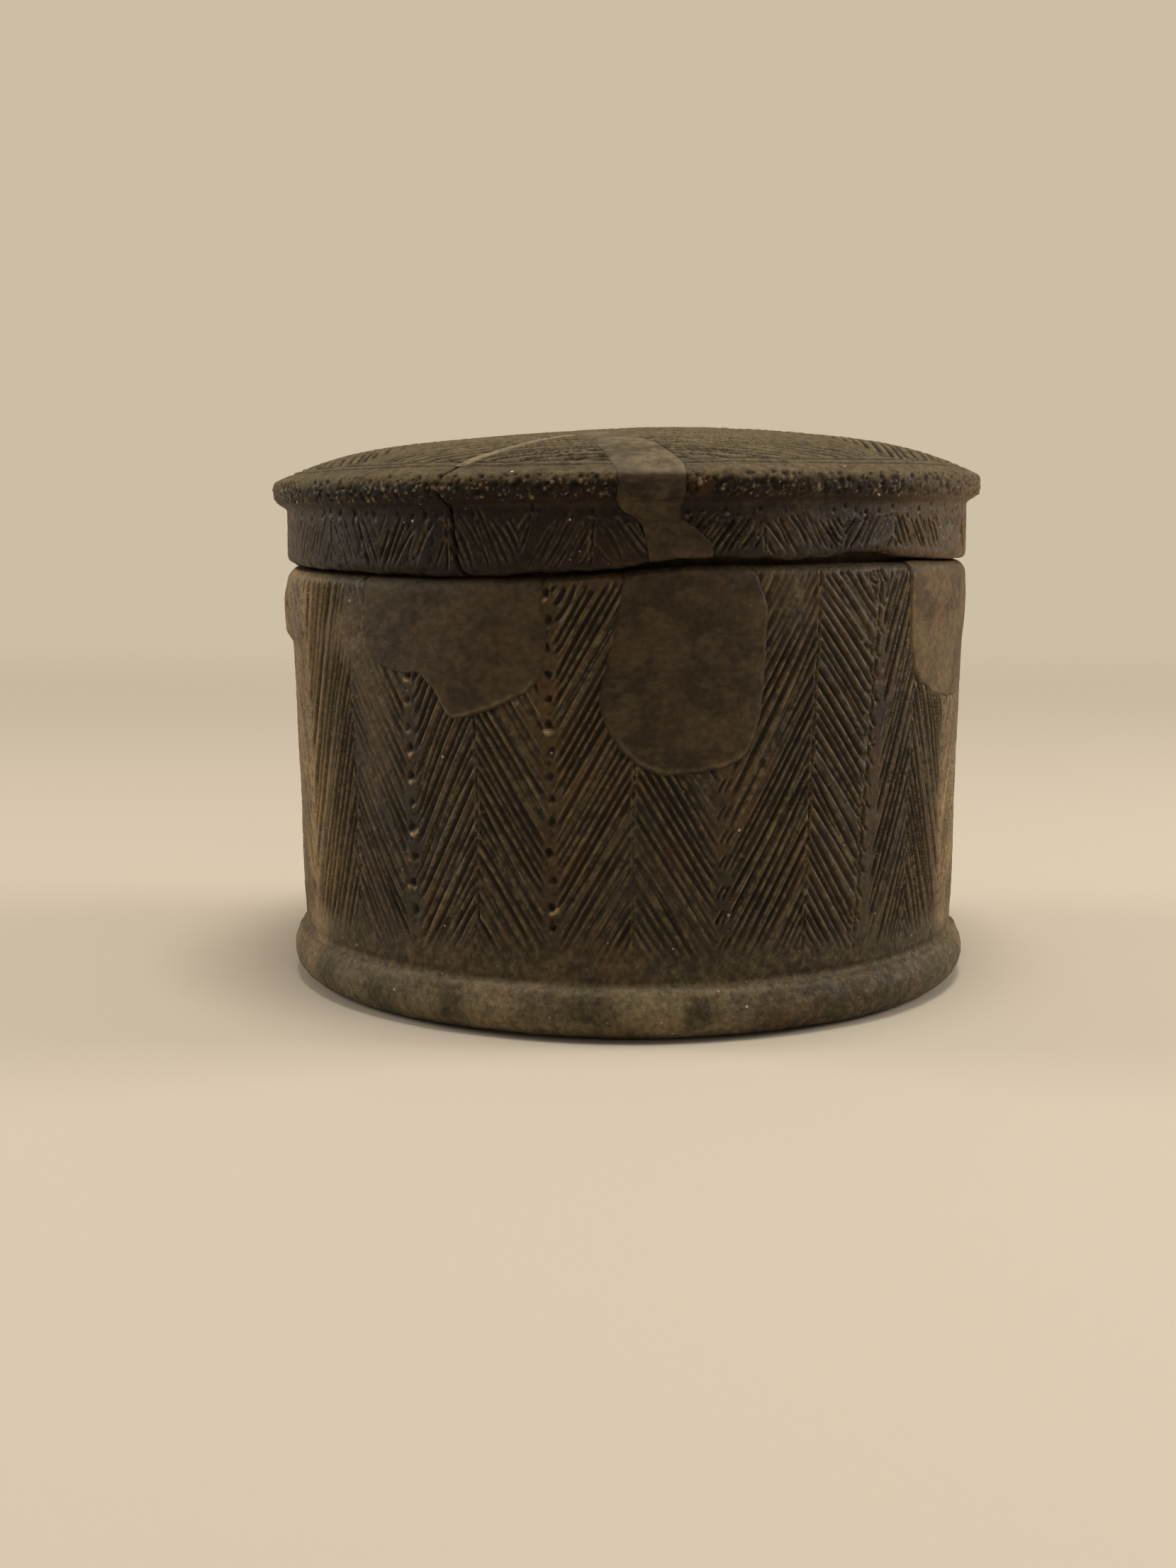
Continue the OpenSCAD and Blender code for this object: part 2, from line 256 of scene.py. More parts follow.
def in_mm(length):
    """A length in metres as mm."""
    return length * 1000


def smooth(value, low, high):
    """Rises softly from 0 at low to 1 at high."""
    t = np.clip((value - low) / (high - low), 0, 1)
    return t * t * (3 - 2 * t)


def bell(value, middle, half):
    """A soft bump of height 1 round a middle value."""
    return np.exp(-((value - middle) / half) ** 2)


def wave(angle, table):
    """Reads a table of angle and value at any angle, all the way round."""
    angles, values = zip(*sorted(table))
    return np.interp(angle, angles, values, period=360)


def noise(points, size, seed):
    """Smooth noise from -1 to 1 at points in mm, with lumps about one size across."""
    scaled = points / size
    whole = np.floor(scaled).astype(np.int64)
    part = scaled - whole
    part = part * part * (3 - 2 * part)
    total = np.zeros(len(points))
    for corner in range(8):
        offset = (corner & 1, corner >> 1 & 1, corner >> 2 & 1)
        weight = np.ones(len(points))
        mark = np.full(len(points), seed * 1274126177, np.int64)
        for axis, prime in enumerate((374761393, 668265263, 1440662683)):
            weight *= part[:, axis] if offset[axis] else 1 - part[:, axis]
            mark += (whole[:, axis] + offset[axis]) * prime
        mark &= 0xFFFFFFFF
        mark = ((mark ^ (mark >> 13)) * 1274126177) & 0xFFFFFFFF
        total += weight * ((mark ^ (mark >> 16)) & 0xFFFFFF) / 0xFFFFFF
    return total * 2 - 1


def rough(points, size, layers, seed):
    """Several layers of noise, each half the size and half the height of the last."""
    total = sum(noise(points, size / 2 ** k, seed + k) / 2 ** k for k in range(layers))
    return total / (2 - 0.5 ** (layers - 1))


class Relief:
    """A rectangle of surface that takes strokes, stabs and pits. It keeps how deep each cell is cut and
    raised."""

    def __init__(self, x_range, y_range, step, wrapped):
        self.x_start, x_end = x_range
        self.y_start, y_end = y_range
        self.columns = round((x_end - self.x_start) / step)
        self.rows = round((y_end - self.y_start) / step) + 1
        self.x_step = (x_end - self.x_start) / self.columns
        self.y_step = (y_end - self.y_start) / (self.rows - 1)
        self.wrapped = wrapped
        self.cut = np.zeros((self.rows, self.columns))
        self.raised = np.zeros((self.rows, self.columns))

    def window(self, x, y, reach_x, reach_y):
        """The cells within reach of a place, and their distances from it."""
        columns = np.arange(
            math.floor((x - reach_x - self.x_start) / self.x_step),
            math.ceil((x + reach_x - self.x_start) / self.x_step) + 1,
        )
        rows = np.arange(
            max(0, math.floor((y - reach_y - self.y_start) / self.y_step)),
            min(self.rows - 1, math.ceil((y + reach_y - self.y_start) / self.y_step)) + 1,
        )
        if not self.wrapped:
            columns = columns[(columns >= 0) & (columns < self.columns)]
        across = self.x_start + columns * self.x_step - x
        up = (self.y_start + rows * self.y_step - y)[:, None]
        return np.ix_(rows, columns % self.columns), across, up

    def stroke(self, start, end, width, depth, run_in=0.06, run_out=0.2, bow=0.0):
        """Draws a pointed tool from start to end. The groove starts steeply and runs out, with a small
        burr."""
        middle = ((start[0] + end[0]) / 2, (start[1] + end[1]) / 2)
        along = (end[0] - start[0], end[1] - start[1])
        length = math.hypot(*along)
        if length < 0.2:
            return
        reach = width + abs(bow)
        cells, across, up = self.window(*middle, abs(along[0]) / 2 + reach, abs(along[1]) / 2 + reach)
        if not across.size or not up.size:
            return
        direction = (along[0] / length, along[1] / length)
        t = (across * direction[0] + up * direction[1]) / length + 0.5
        side = across * direction[1] - up * direction[0] - bow * 4 * t * (1 - t)
        beyond = np.maximum(0, np.abs(t - 0.5) - 0.5) * length
        away = np.hypot(side, beyond) / (width / 2)
        held = np.clip(np.minimum(t / run_in + 0.35, (1 - t) / run_out + 0.15), 0, 1)
        cut = depth * held * np.maximum(0, 1 - away ** 2)
        burr = depth * 0.25 * held * np.maximum(0, 1 - ((away - 1.2) / 0.34) ** 2)
        self.cut[cells] = np.maximum(self.cut[cells], cut)
        self.raised[cells] = np.maximum(self.raised[cells], burr)

    def wedge(self, x, y, width, height, depth, turn=0.0, lips=0.4):
        """Stabs a three-cornered tool in, deepest at the top, which throws up a lip below."""
        reach = max(width, height) * 1.3
        cells, across, up = self.window(x, y, reach, reach)
        if not across.size or not up.size:
            return
        u = (across * math.cos(turn) + up * math.sin(turn)) / (width / 2)
        v = 0.5 - (up * math.cos(turn) - across * math.sin(turn)) / height
        half = np.clip(0.25 + 0.85 * v, 0.15, 1.1)
        inside = np.maximum(0, 1 - (u / half) ** 2) * np.clip(v * 6, 0, 1) * np.clip((1 - v) * 1.6, 0, 1)
        lip = np.maximum(0, 1 - (u / half) ** 2) * bell(v + 0.25 * u * u, 1.02, 0.17)
        lip = lip * (0.3 + 0.7 * np.cos(2.1 * u + 9 * turn) ** 2)
        self.cut[cells] = np.maximum(self.cut[cells], depth * inside ** 0.8)
        self.raised[cells] = np.maximum(self.raised[cells], depth * lips * lip)

    def pit(self, x, y, radius, depth):
        """Leaves a small round hole, where grit has fallen out. A negative depth leaves a grain that
        stands out."""
        cells, across, up = self.window(x, y, radius, radius)
        if not across.size or not up.size:
            return
        bowl = np.maximum(0, 1 - (across ** 2 + up ** 2) / radius ** 2)
        layer = self.cut if depth > 0 else self.raised
        layer[cells] = np.maximum(layer[cells], abs(depth) * bowl)

    def read(self, x, y):
        """The cut and raised heights at any places, between the cells."""
        column = (x - self.x_start) / self.x_step
        row = np.clip((y - self.y_start) / self.y_step, 0, self.rows - 1.001)
        if not self.wrapped:
            column = np.clip(column, 0, self.columns - 1.001)
        left = np.floor(column).astype(np.int64)
        below = np.floor(row).astype(np.int64)
        fx = column - left
        fy = row - below
        left, right = left % self.columns, (left + 1) % self.columns
        found = []
        for layer in (self.cut, self.raised):
            low = layer[below, left] * (1 - fx) + layer[below, right] * fx
            high = layer[below + 1, left] * (1 - fx) + layer[below + 1, right] * fx
            found.append(low * (1 - fy) + high * fy)
        return found


class Profile:
    """Half a cross-section as a walk past its joined stretches, with soft corners."""

    def __init__(self, stretches):
        points = np.concatenate(stretches)
        keep = np.r_[True, np.hypot(*np.diff(points, axis=0).T) > 1e-6]
        self.points = points[keep]
        self.length = np.r_[0, np.cumsum(np.hypot(*np.diff(self.points, axis=0).T))]
        ends = np.cumsum([np.hypot(*np.diff(s, axis=0).T).sum() for s in stretches])
        self.ends = [float(end) for end in ends]

    def place(self, length, soften=0.35):
        """Radius, height and outward direction at lengths along the walk."""
        def at(shift):
            """The place at each length moved along the walk."""
            spot = np.clip(length + shift, 0, self.length[-1])
            return np.stack([np.interp(spot, self.length, self.points[:, axis]) for axis in (0, 1)], 1)
        before, here, after = at(-soften), at(0), at(soften)
        ahead = after - before
        ahead /= np.maximum(1e-9, np.hypot(*ahead.T))[:, None]
        near = np.minimum(length, self.length[-1] - length) < soften
        spot = np.where(near[:, None], here, (before + 2 * here + after) / 4)
        return spot[:, 0], spot[:, 1], ahead[:, 1], -ahead[:, 0]


def arc(centre, radius, start, end, count=40):
    """Points along an arc in the half cross-section, with angles in degrees from outward."""
    turn = np.radians(np.linspace(start, end, count))
    return np.stack([centre[0] + radius * np.cos(turn), centre[1] + radius * np.sin(turn)], 1)


def line(*points):
    """Points along straight stretches of a half cross-section."""
    return np.array(points, float)


class Skin:
    """Gathers one piece: vertices in mm, faces, and each face corner's place on the bake map."""

    def __init__(self):
        self.count = 0
        self.points = []
        self.faces = {3: [], 4: []}
        self.spots = {3: [], 4: []}

    def add(self, points):
        """Adds vertices and returns their numbers."""
        numbers = np.arange(self.count, self.count + len(points))
        self.points.append(np.asarray(points, float))
        self.count += len(points)
        return numbers

    def face(self, corners, spots):
        """Adds faces from arrays of corner numbers and their places on the bake map."""
        self.faces[len(corners)].append(np.stack(corners, 1))
        self.spots[len(corners)].append(np.stack(spots, 1))

    def bridge(self, first, second, spot_first, spot_second, closed):
        """Joins two rows of vertices. A closed row has one place more on the map than it has vertices. One
        row may have twice as many vertices as the other."""
        if len(first) < len(second):
            first, second, spot_first, spot_second = second, first, spot_second, spot_first
            flipped = True
        else:
            flipped = False
        if closed:
            first = np.r_[first, first[:1]]
            second = np.r_[second, second[:1]]
        if len(first) == len(second):
            corners = [first[:-1], first[1:], second[1:], second[:-1]]
            spots = [spot_first[:-1], spot_first[1:], spot_second[1:], spot_second[:-1]]
            groups = [(corners, spots)]
        else:
            a, b, c = first[:-1:2], first[1::2], first[2::2]
            sa, sb, sc = spot_first[:-1:2], spot_first[1::2], spot_first[2::2]
            low, high = second[:-1], second[1:]
            sl, sh = spot_second[:-1], spot_second[1:]
            groups = [
                ([a, b, low], [sa, sb, sl]),
                ([b, high, low], [sb, sh, sl]),
                ([b, c, high], [sb, sc, sh]),
            ]
        for corners, spots in groups:
            if flipped:
                corners, spots = corners[::-1], spots[::-1]
            self.face(corners, spots)

    def fan(self, row, centre, spots, spot_centre):
        """Closes a ring of vertices onto one centre vertex."""
        ahead = np.r_[row[1:], row[:1]]
        self.face(
            [row, ahead, np.full(len(row), centre)],
            [spots[:-1], spots[1:], np.repeat(spot_centre[None], len(row), 0)]
        )

    def zip(self, first, second, spots):
        """Joins two rows with different numbers of vertices, in step with their share of the way."""
        a = b = 0
        corners = []
        while a < len(first) - 1 or b < len(second) - 1:
            next_a = (a + 1) / (len(first) - 1) if a < len(first) - 1 else 2
            next_b = (b + 1) / (len(second) - 1) if b < len(second) - 1 else 2
            if next_a <= next_b:
                corners.append((first[a], first[a + 1], second[b]))
                a += 1
            else:
                corners.append((first[a], second[b + 1], second[b]))
                b += 1
        corners = np.array(corners)
        share = np.linspace(0, 1, len(corners))
        u = spots[0] + (spots[2] - spots[0]) * share
        low = np.stack([u, np.full(len(u), spots[1])], 1)
        high = np.stack([u, np.full(len(u), spots[3])], 1)
        self.face([corners[:, 0], corners[:, 1], corners[:, 2]], [low, high, (low + high) / 2 + [0.001, 0]])


def strip_spots(chart, share, count, closed, plan=None):
    """Places on the bake map for one ring: chart is (left, bottom, right, top), share the way up it."""
    if plan is not None:
        middle = [(chart[0] + chart[2]) / 2, (chart[1] + chart[3]) / 2]
        half = [(chart[2] - chart[0]) / 2, (chart[3] - chart[1]) / 2]
        spots = plan * half + middle
        return np.concatenate([spots, spots[:1]]) if closed else spots
    steps = np.linspace(0, 1, count + 1 if closed else count)
    across = chart[0] + (chart[2] - chart[0]) * steps
    return np.stack([across, np.full(len(steps), chart[1] + (chart[3] - chart[1]) * share)], 1)


def build(skin, place, name, material, body, nodes, marks, sharp=60):
    """Makes the Blender object of a piece, with its surface marks, and tells the frame what it stands for."""
    points = place / 1000
    quads = np.concatenate(skin.faces[4]) if skin.faces[4] else np.zeros((0, 4), int)
    tris = np.concatenate(skin.faces[3]) if skin.faces[3] else np.zeros((0, 3), int)
    corners = np.concatenate([quads.ravel(), tris.ravel()])
    spots = [np.concatenate(skin.spots[n]).reshape(-1, 2) for n in (4, 3) if skin.faces[n]]
    starts = np.concatenate([np.arange(len(quads)) * 4, len(quads) * 4 + np.arange(len(tris)) * 3])
    mesh = bpy.data.meshes.new(name)
    mesh.vertices.add(len(points))
    mesh.vertices.foreach_set("co", points.astype(np.float32).ravel())
    mesh.loops.add(len(corners))
    mesh.loops.foreach_set("vertex_index", corners.astype(np.int32))
    mesh.polygons.add(len(starts))
    mesh.polygons.foreach_set("loop_start", starts.astype(np.int32))
    mesh.polygons.foreach_set("use_smooth", np.ones(len(starts), bool))
    mesh.update(calc_edges=True)
    layer = mesh.uv_layers.new(name="OFBake")
    layer.data.foreach_set("uv", np.clip(np.concatenate(spots), 0, 1).astype(np.float32).ravel())
    for mark, values in marks.items():
        mesh.attributes.new(mark, "FLOAT", "POINT").data.foreach_set("value", values.astype(np.float32))
    if mesh.validate():
        raise RuntimeError(f"the mesh of {name} has faults")
    # Fronts, backs and edges are laid in different orders, so here every face is turned outwards.
    shape = bmesh.new()
    shape.from_mesh(mesh)
    bmesh.ops.recalc_face_normals(shape, faces=shape.faces)
    if shape.calc_volume(signed=True) < 0:
        raise RuntimeError(f"the mesh of {name} is inside out")
    shape.to_mesh(mesh)
    shape.free()
    mesh.set_sharp_from_angle(angle=math.radians(sharp))
    mesh.materials.append(material)
    piece = bpy.data.objects.new(name, mesh)
    bpy.context.scene.collection.objects.link(piece)
    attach(piece, body)
    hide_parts(*nodes)
    return piece


def turned(angle, radius, height):
    """Points in mm at angles in degrees from the front."""
    turn = np.radians(angle)
    return np.stack([radius * np.sin(turn), -radius * np.cos(turn), height], 1)


def settle(points):
    """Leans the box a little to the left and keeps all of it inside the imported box."""
    settled = points.copy()
    up = np.clip(points[:, 2] / 68, 0, 1)
    settled[:, 0] -= 0.42 * up ** 1.5
    low, high = (np.array(corner) * 1000 for corner in CAD_BOX)
    return np.clip(settled, low, high)


def tip(angle):
    """How far the lid, and the neck under it, rise towards the right, in mm."""
    return 0.6 * np.sin(np.radians(angle))


def outline_distance(outline, x, y):
    """Distance in mm from a closed outline, negative inside, on a grid of x and y."""
    grid = np.stack(np.broadcast_arrays(x, y), -1).reshape(-1, 2)
    start = outline
    along = np.roll(outline, -1, 0) - start
    away = np.full(len(grid), 1e9)
    inside = np.zeros(len(grid), bool)
    for (sx, sy), (ax, ay) in zip(start, along):
        t = np.clip(((grid[:, 0] - sx) * ax + (grid[:, 1] - sy) * ay) / (ax * ax + ay * ay + 1e-12), 0, 1)
        away = np.minimum(away, np.hypot(grid[:, 0] - sx - t * ax, grid[:, 1] - sy - t * ay))
        crosses = (sy > grid[:, 1]) != (sy + ay > grid[:, 1])
        level = sx + ax * (grid[:, 1] - sy) / (ay if abs(ay) > 1e-12 else 1e-12)
        inside ^= crosses & (grid[:, 0] < level)
    return np.where(inside, -away, away).reshape(np.broadcast(x, y).shape)


def softened(corners, seed, steps=10):
    """A closed outline as a flowing line through its corners, with a hand's small unevenness."""
    corners = np.array(corners, float)
    before, after, later = np.roll(corners, 1, 0), np.roll(corners, -1, 0), np.roll(corners, -2, 0)
    flow = []
    for t in np.linspace(0, 1, steps, endpoint=False):
        flow.append(
            0.5 * (2 * corners + (after - before) * t + (2 * before - 5 * corners + 4 * after - later) * t * t
                   + (3 * corners - before - 3 * after + later) * t ** 3)
        )
    points = np.stack(flow, 1).reshape(-1, 2)
    lumps = np.stack([points[:, 0], points[:, 1], np.full(len(points), seed)], 1)
    return points + np.stack([noise(lumps, 1.7, seed), noise(lumps, 1.7, seed + 5)], 1) * 0.22


# Mean radius of the wall, at which angles become distances across the pattern.
WALL_R = 53.6
SKIRT_R = 54.4


def across_wall(angle):
    """The distance round the wall from the front to an angle, in mm."""
    return np.radians(angle) * WALL_R


def pot_profile(pot):
    """The pot's half cross-section: under the base, up the outside, over the neck and down into the
    hollow."""
    foot, flange = in_mm(pot.foot_radius), in_mm(pot.flange_height) / 2
    shoulder, neck, cavity = in_mm(pot.shoulder_height), in_mm(pot.neck_radius), in_mm(pot.cavity_radius)
    centre = (foot + in_mm(pot.flange_out) - flange, flange)
    meet = math.degrees(math.acos((foot - centre[0]) / flange))
    climb = np.linspace(centre[1] + flange * math.sin(math.radians(meet)), shoulder - 2, 60)
    wall = np.stack([foot + in_mm(pot.flare) * (climb / shoulder) ** 1.7, climb], 1)
    edge = wall[-1, 0] - 2
    return Profile([
        line((0, 0.35), (18, 0.35), (44, 0.3), (49.6, 0)),
        np.concatenate([line((49.6, 0)), arc(centre, flange, -90, meet)]),
        wall,
        arc((edge, shoulder - 2), 2, 0, 90),
        line((edge, shoulder), (neck, shoulder)),
        line((neck, shoulder), (neck, shoulder + 7.6)),
        np.concatenate([
            arc((neck - 0.8, shoulder + 7.6), 0.8, 0, 90),
            arc((cavity + 0.6, shoulder + 7.8), 0.6, 90, 180),
        ]),
        line((cavity, shoulder + 7.8), (cavity, 13)),
        arc((cavity - 4, 11), 4, 0, -90),
        line((cavity - 4, 7), (0, 7)),
    ])


def wall_level(profile):
    """The length along the profile that counts as height 0, so that height on the wall reads as length."""
    return profile.ends[1] - float(np.interp(profile.ends[1], profile.length, profile.points[:, 1]))


def comb(relief, chance, spine, meet, low, high, lean, strokes, side, worn=1.0):
    """Fills the field between a spine and the place where it meets its neighbour with slanting strokes."""
    def spine_x(level):
        """Where the spine stands at a height."""
        return np.interp(level, (low, high), (spine[1], spine[0]))

    def meet_x(level):
        """Where the strokes end at a height."""
        return np.interp(level, (low, high), (meet[1], meet[0]))

    period, width, depth = in_mm(strokes.period), in_mm(strokes.width), in_mm(strokes.depth) * worn
    reach = abs(meet_x(high) - spine_x(high))
    level = high + reach / math.tan(math.radians(lean[0])) * 0.97
    while level > low + 0.5:
        slant = math.radians(np.interp(level, (low, high), (lean[1], lean[0])) + chance.normal(0, 0.9))
        start = [spine_x(level) + side * chance.normal(0.12, 0.16), level]
        if level > high:
            late = (level - high + abs(chance.normal(0, 0.35))) / math.cos(slant)
            start = [start[0] + side * math.sin(slant) * late, level - math.cos(slant) * late]
        room = side * (meet_x(start[1]) - start[0]) - 0.55 - chance.uniform(0, 0.7)
        length = min(room / math.sin(slant), (start[1] - low - abs(chance.normal(0, 0.8))) / math.cos(slant))
        if length > 0.8:
            end = (start[0] + side * math.sin(slant) * length, start[1] - math.cos(slant) * length)
            strength = np.clip(chance.normal(1, 0.17), 0.45, 1.4)
            relief.stroke(start, end, width * np.clip(chance.normal(1, 0.09), 0.75, 1.25), depth * strength,
                          run_in=0.03, run_out=0.1, bow=chance.normal(0, 0.16))
        level -= period / math.sin(slant) * np.clip(chance.normal(1, 0.1), 0.72, 1.35)


def upright_line(relief, chance, top, foot, high, low, width, depth):
    """Draws a wavering line from top to foot in short pulls."""
    levels = np.linspace(high, low, 11)
    places = np.interp(levels, (low, high), (foot, top)) + chance.normal(0, 0.1, 11)
    for k in range(10):
        relief.stroke((places[k], levels[k] + 0.3), (places[k + 1], levels[k + 1]), width,
                      depth * chance.uniform(0.7, 1.15), run_in=0.02, run_out=0.03)


def stab_row(relief, chance, top, foot, high, low, spacing, kind):
    """Sets the upright row of marks that divides two panels."""
    if kind == "groove":
        upright_line(relief, chance, top, foot, high, low, 0.75, 0.34)
        spacing *= 0.86
    if kind == "dash":
        spacing *= 0.64
    level = high - 1
    while level > low - 0.8:
        x = np.interp(level, (low, high), (foot, top)) + chance.normal(0, 0.16)
        if kind == "wedge":
            relief.wedge(x, level, chance.uniform(1.3, 2.2), chance.uniform(1.3, 2.1),
                         chance.uniform(0.4, 0.75),
                         chance.normal(0.1, 0.5), 1.1 * chance.uniform(0.1, 1) ** 2)
            if chance.uniform() < 0.6:
                relief.pit(x + chance.normal(0, 0.5), level - spacing * chance.uniform(0.35, 0.6),
                           chance.uniform(0.25, 0.5), 0.25)
        elif kind == "dash":
            relief.wedge(x, level, chance.uniform(0.7, 1.0), chance.uniform(1.1, 1.6), 0.4,
                         chance.normal(0, 0.15))
        else:
            lean = -1 if kind == "slash" else 1
            for shift in (-0.35, 0.5):
                relief.stroke((x + shift - lean * 0.7, level + 1.0), (x + shift + lean * 0.5, level - 1.0),
                              0.75,
                              chance.uniform(0.32, 0.55), run_in=0.05, run_out=0.3)
        level -= spacing * np.clip(chance.normal(1, 0.1), 0.75, 1.3)


def scatter_pits(relief, chance, count, x_range, y_range, sizes, depth):
    """Scatters round pits, or grains where the depth is negative."""
    for x, y, share in zip(
        chance.uniform(*x_range, count), chance.uniform(*y_range, count), chance.uniform(0, 1, count)
    ):
        relief.pit(x, y, sizes[0] + (sizes[1] - sizes[0]) * share ** 3, depth * (0.45 + 0.55 * share))


def wall_relief(strokes):
    """All the marks on the outside of the pot, laid out as distance across and height."""
    chance = np.random.default_rng(strokes.seed)
    half = math.pi * WALL_R
    relief = Relief((-half, half), (-7, 70), 0.14, True)
    low, high = 10.4, 64.9
    count = len(DIVIDERS)
    for k in range(count):
        spine = [across_wall(angle) for angle in SPINES[k][:2]]
        left = [across_wall(angle) for angle in DIVIDERS[k][:2]]
        right = [across_wall(angle + (360 if k == count - 1 else 0))
                 for angle in DIVIDERS[(k + 1) % count][:2]]
        leans = SPINES[k][2:]
        comb(relief, chance, spine, left, low, high, leans[:2], strokes, -1)
        comb(relief, chance, spine, right, low, high, leans[2:], strokes, 1)
        upright_line(relief, chance, spine[0], spine[1], high, low + 1, 0.55, 0.42)
        stab_row(relief, chance, left[0], left[1], high, low, in_mm(strokes.stab_spacing), DIVIDERS[k][2])
    x = -half
    while x < half:
        relief.wedge(x, 9.6 + chance.normal(0, 0.35), chance.uniform(0.7, 1.2), chance.uniform(1.2, 2.2),
                     chance.uniform(0.2, 0.5), chance.normal(-0.35, 0.3))
        x += chance.uniform(1.5, 3.2)
    for shift, depth in ((6.6, 0.16), (5.9, 0.1)):
        places = np.linspace(-half, half, 60)
        for k in range(59):
            if chance.uniform() < 0.75:
                relief.stroke((places[k] - 0.5, shift + chance.normal(0, 0.08)),
                              (places[k + 1] + 0.5, shift + chance.normal(0, 0.08)), 0.5, depth)
    scatter_pits(relief, chance, 1100, (-half, half), (8, 64), (0.18, 0.7), 0.32)
    scatter_pits(relief, chance, 900, (-half, half), (-4, 8.5), (0.18, 0.7), 0.26)
    scatter_pits(relief, chance, 700, (-half, half), (-4, 64), (0.12, 0.4), -0.16)
    return relief


def plug_outlines():
    """The outlines of the three plugs as distance across and length up the wall."""
    found = []
    for seed, corners in ((3, LEFT_PLUG), (7, FRONT_PLUG), (13, RIGHT_PLUG)):
        flat = [(across_wall(angle), 65.9 - depth) for angle, depth in corners]
        found.append(softened(flat, seed))
    return found


class Plugs:
    """Reads how far any place on the wall is from the nearest plug's edge."""

    def __init__(self):
        self.outlines = plug_outlines()
        self.x = np.arange(-56, 92, 0.3)
        self.y = np.arange(30, 72, 0.3)
        self.fields = [outline_distance(o, self.x, self.y[:, None]) for o in self.outlines]
        self.nearest = np.minimum.reduce(self.fields)

    def distance(self, x, y, which=None):
        """Distance in mm from the nearest plug's edge, or from one plug's, negative inside it."""
        field = self.nearest if which is None else self.fields[which]
        column = np.clip((x - self.x[0]) / 0.3, 0, len(self.x) - 1.001)
        row = np.clip((y - self.y[0]) / 0.3, 0, len(self.y) - 1.001)
        c, r = column.astype(int), row.astype(int)
        fx, fy = column - c, row - r
        low = field[r, c] * (1 - fx) + field[r, c + 1] * fx
        high = field[r + 1, c] * (1 - fx) + field[r + 1, c + 1] * fx
        return low * (1 - fy) + high * fy


def wear_of(angle, level, points):
    """How far the strokes are rubbed away, from 0 to 1."""
    patches = smooth(rough(points, 14, 3, 41), 0.15, 0.6) * 0.5
    left = bell(angle, -46, 5) * bell(level, 59, 6) + 0.62 * bell(angle, -42.5, 4.5) * bell(level, 42, 17)
    right = bell(angle, 25.5, 4) * bell(level, 61, 5.5)
    foot = 1 - smooth(level + 2.5 * noise(points, 9, 43), 9.5, 17)
    top = smooth(level, 63.5, 65.5)
    return np.clip(patches + left * 1.1 + right * 0.9 + foot * 0.85 + top * 0.3, 0, 0.96)


def wall_height(angle, level, points, relief, plugs):
    """Height of the hand-made surface over the turned form, in mm, and its marks for the clay."""
    x = (across_wall(angle) + math.pi * WALL_R) % (2 * math.pi * WALL_R) - math.pi * WALL_R
    cut, raised = relief.read(x, level)
    worn = wear_of(angle, level, points)
    cut = cut * (1 - worn)
    raised = raised * (1 - worn)
    height = 0.16 * noise(points, 17, 1) + 0.06 * rough(points, 3.2, 3, 5) + 0.03 * noise(points, 0.9, 9)
    height -= worn * 0.09 * (1 + rough(points, 1.6, 2, 47))
    # The flange's upper edge is a crest that the hand left uneven, with a shallow furrow above it.
    height += 0.3 * bell(level, 6.7, 0.75) * (1 + 0.5 * noise(points, 2.3, 49)) - 0.2 * bell(level, 8.5, 0.5)
    away = plugs.distance(x, level)
    pocket = smooth(-away, -0.1, 0.9)
    edge = bell(away, 0.15, 0.5) * (0.12 + 0.1 * noise(points, 1.3, 51))
    height += (raised - cut) * (1 - pocket) - 1.1 * pocket - edge
    return height, cut, worn, raised


def pot_places(profile, lengths, angles):
    """Where rings of the pot stand before any mark is cut, with the rise and fall of the shoulder."""
    radius, height, out, up = profile.place(lengths)
    level = lengths - wall_level(profile)
    dip = wave(angles, SHOULDER_WAVE)
    outside = smooth(radius, 50.2, 52.6) * smooth(level, 34, 64) * (level < 72)
    inside = (1 - smooth(radius, 50.2, 52.6)) * smooth(height, 40, 66)
    height = height + dip * outside + tip(angles) * inside * (height > 30)
    # The two soft swellings below the shoulder, sharp at the foot on the left and smooth on the right.
    for middle, size, sharp in ((-91, 1.35, 1.4), (96, 0.75, 3.5)):
        turn = (angles - middle + 180) % 360 - 180
        rise = smooth(level, 59.5 - 5.2 - sharp * 0.5, 59.5 - 5.2 + sharp) * (1 - smooth(level, 60, 65.5))
        radius = radius + size * bell(turn, 0, 15) * rise * (level > 40) * (level < 68)
    return radius, height, out, up, level


def graded(count, radius):
    """Fewer columns near the axis."""
    for limit, share in ((3, 16), (7, 8), (14, 4), (28, 2)):
        if radius < limit and count // share >= 48:
            return count // share
    return count


def rings_along(profile, spans):
    """Lengths and column counts of rings, from stretches of (end, spacing, columns). Counts change by
    halves."""
    rings = []
    start = 0.0
    for end, spacing, columns in spans:
        steps = max(1, round((end - start) / (spacing * COARSE)))
        for step in range(steps):
            length = start + (end - start) * (step + 0.5) / steps
            radius = float(np.interp(length, profile.length, profile.points[:, 0]))
            rings.append((length, graded(columns // COARSE, radius)))
        start = end
    full = [rings[0]]
    for length, count in rings[1:]:
        while count != full[-1][1] and not count in (full[-1][1] * 2, full[-1][1] // 2):
            bigger = count > full[-1][1]
            between = full[-1][0] * 0.6 + length * 0.4
            full.append((between, full[-1][1] * 2 if bigger else full[-1][1] // 2))
        full.append((length, count))
    return full


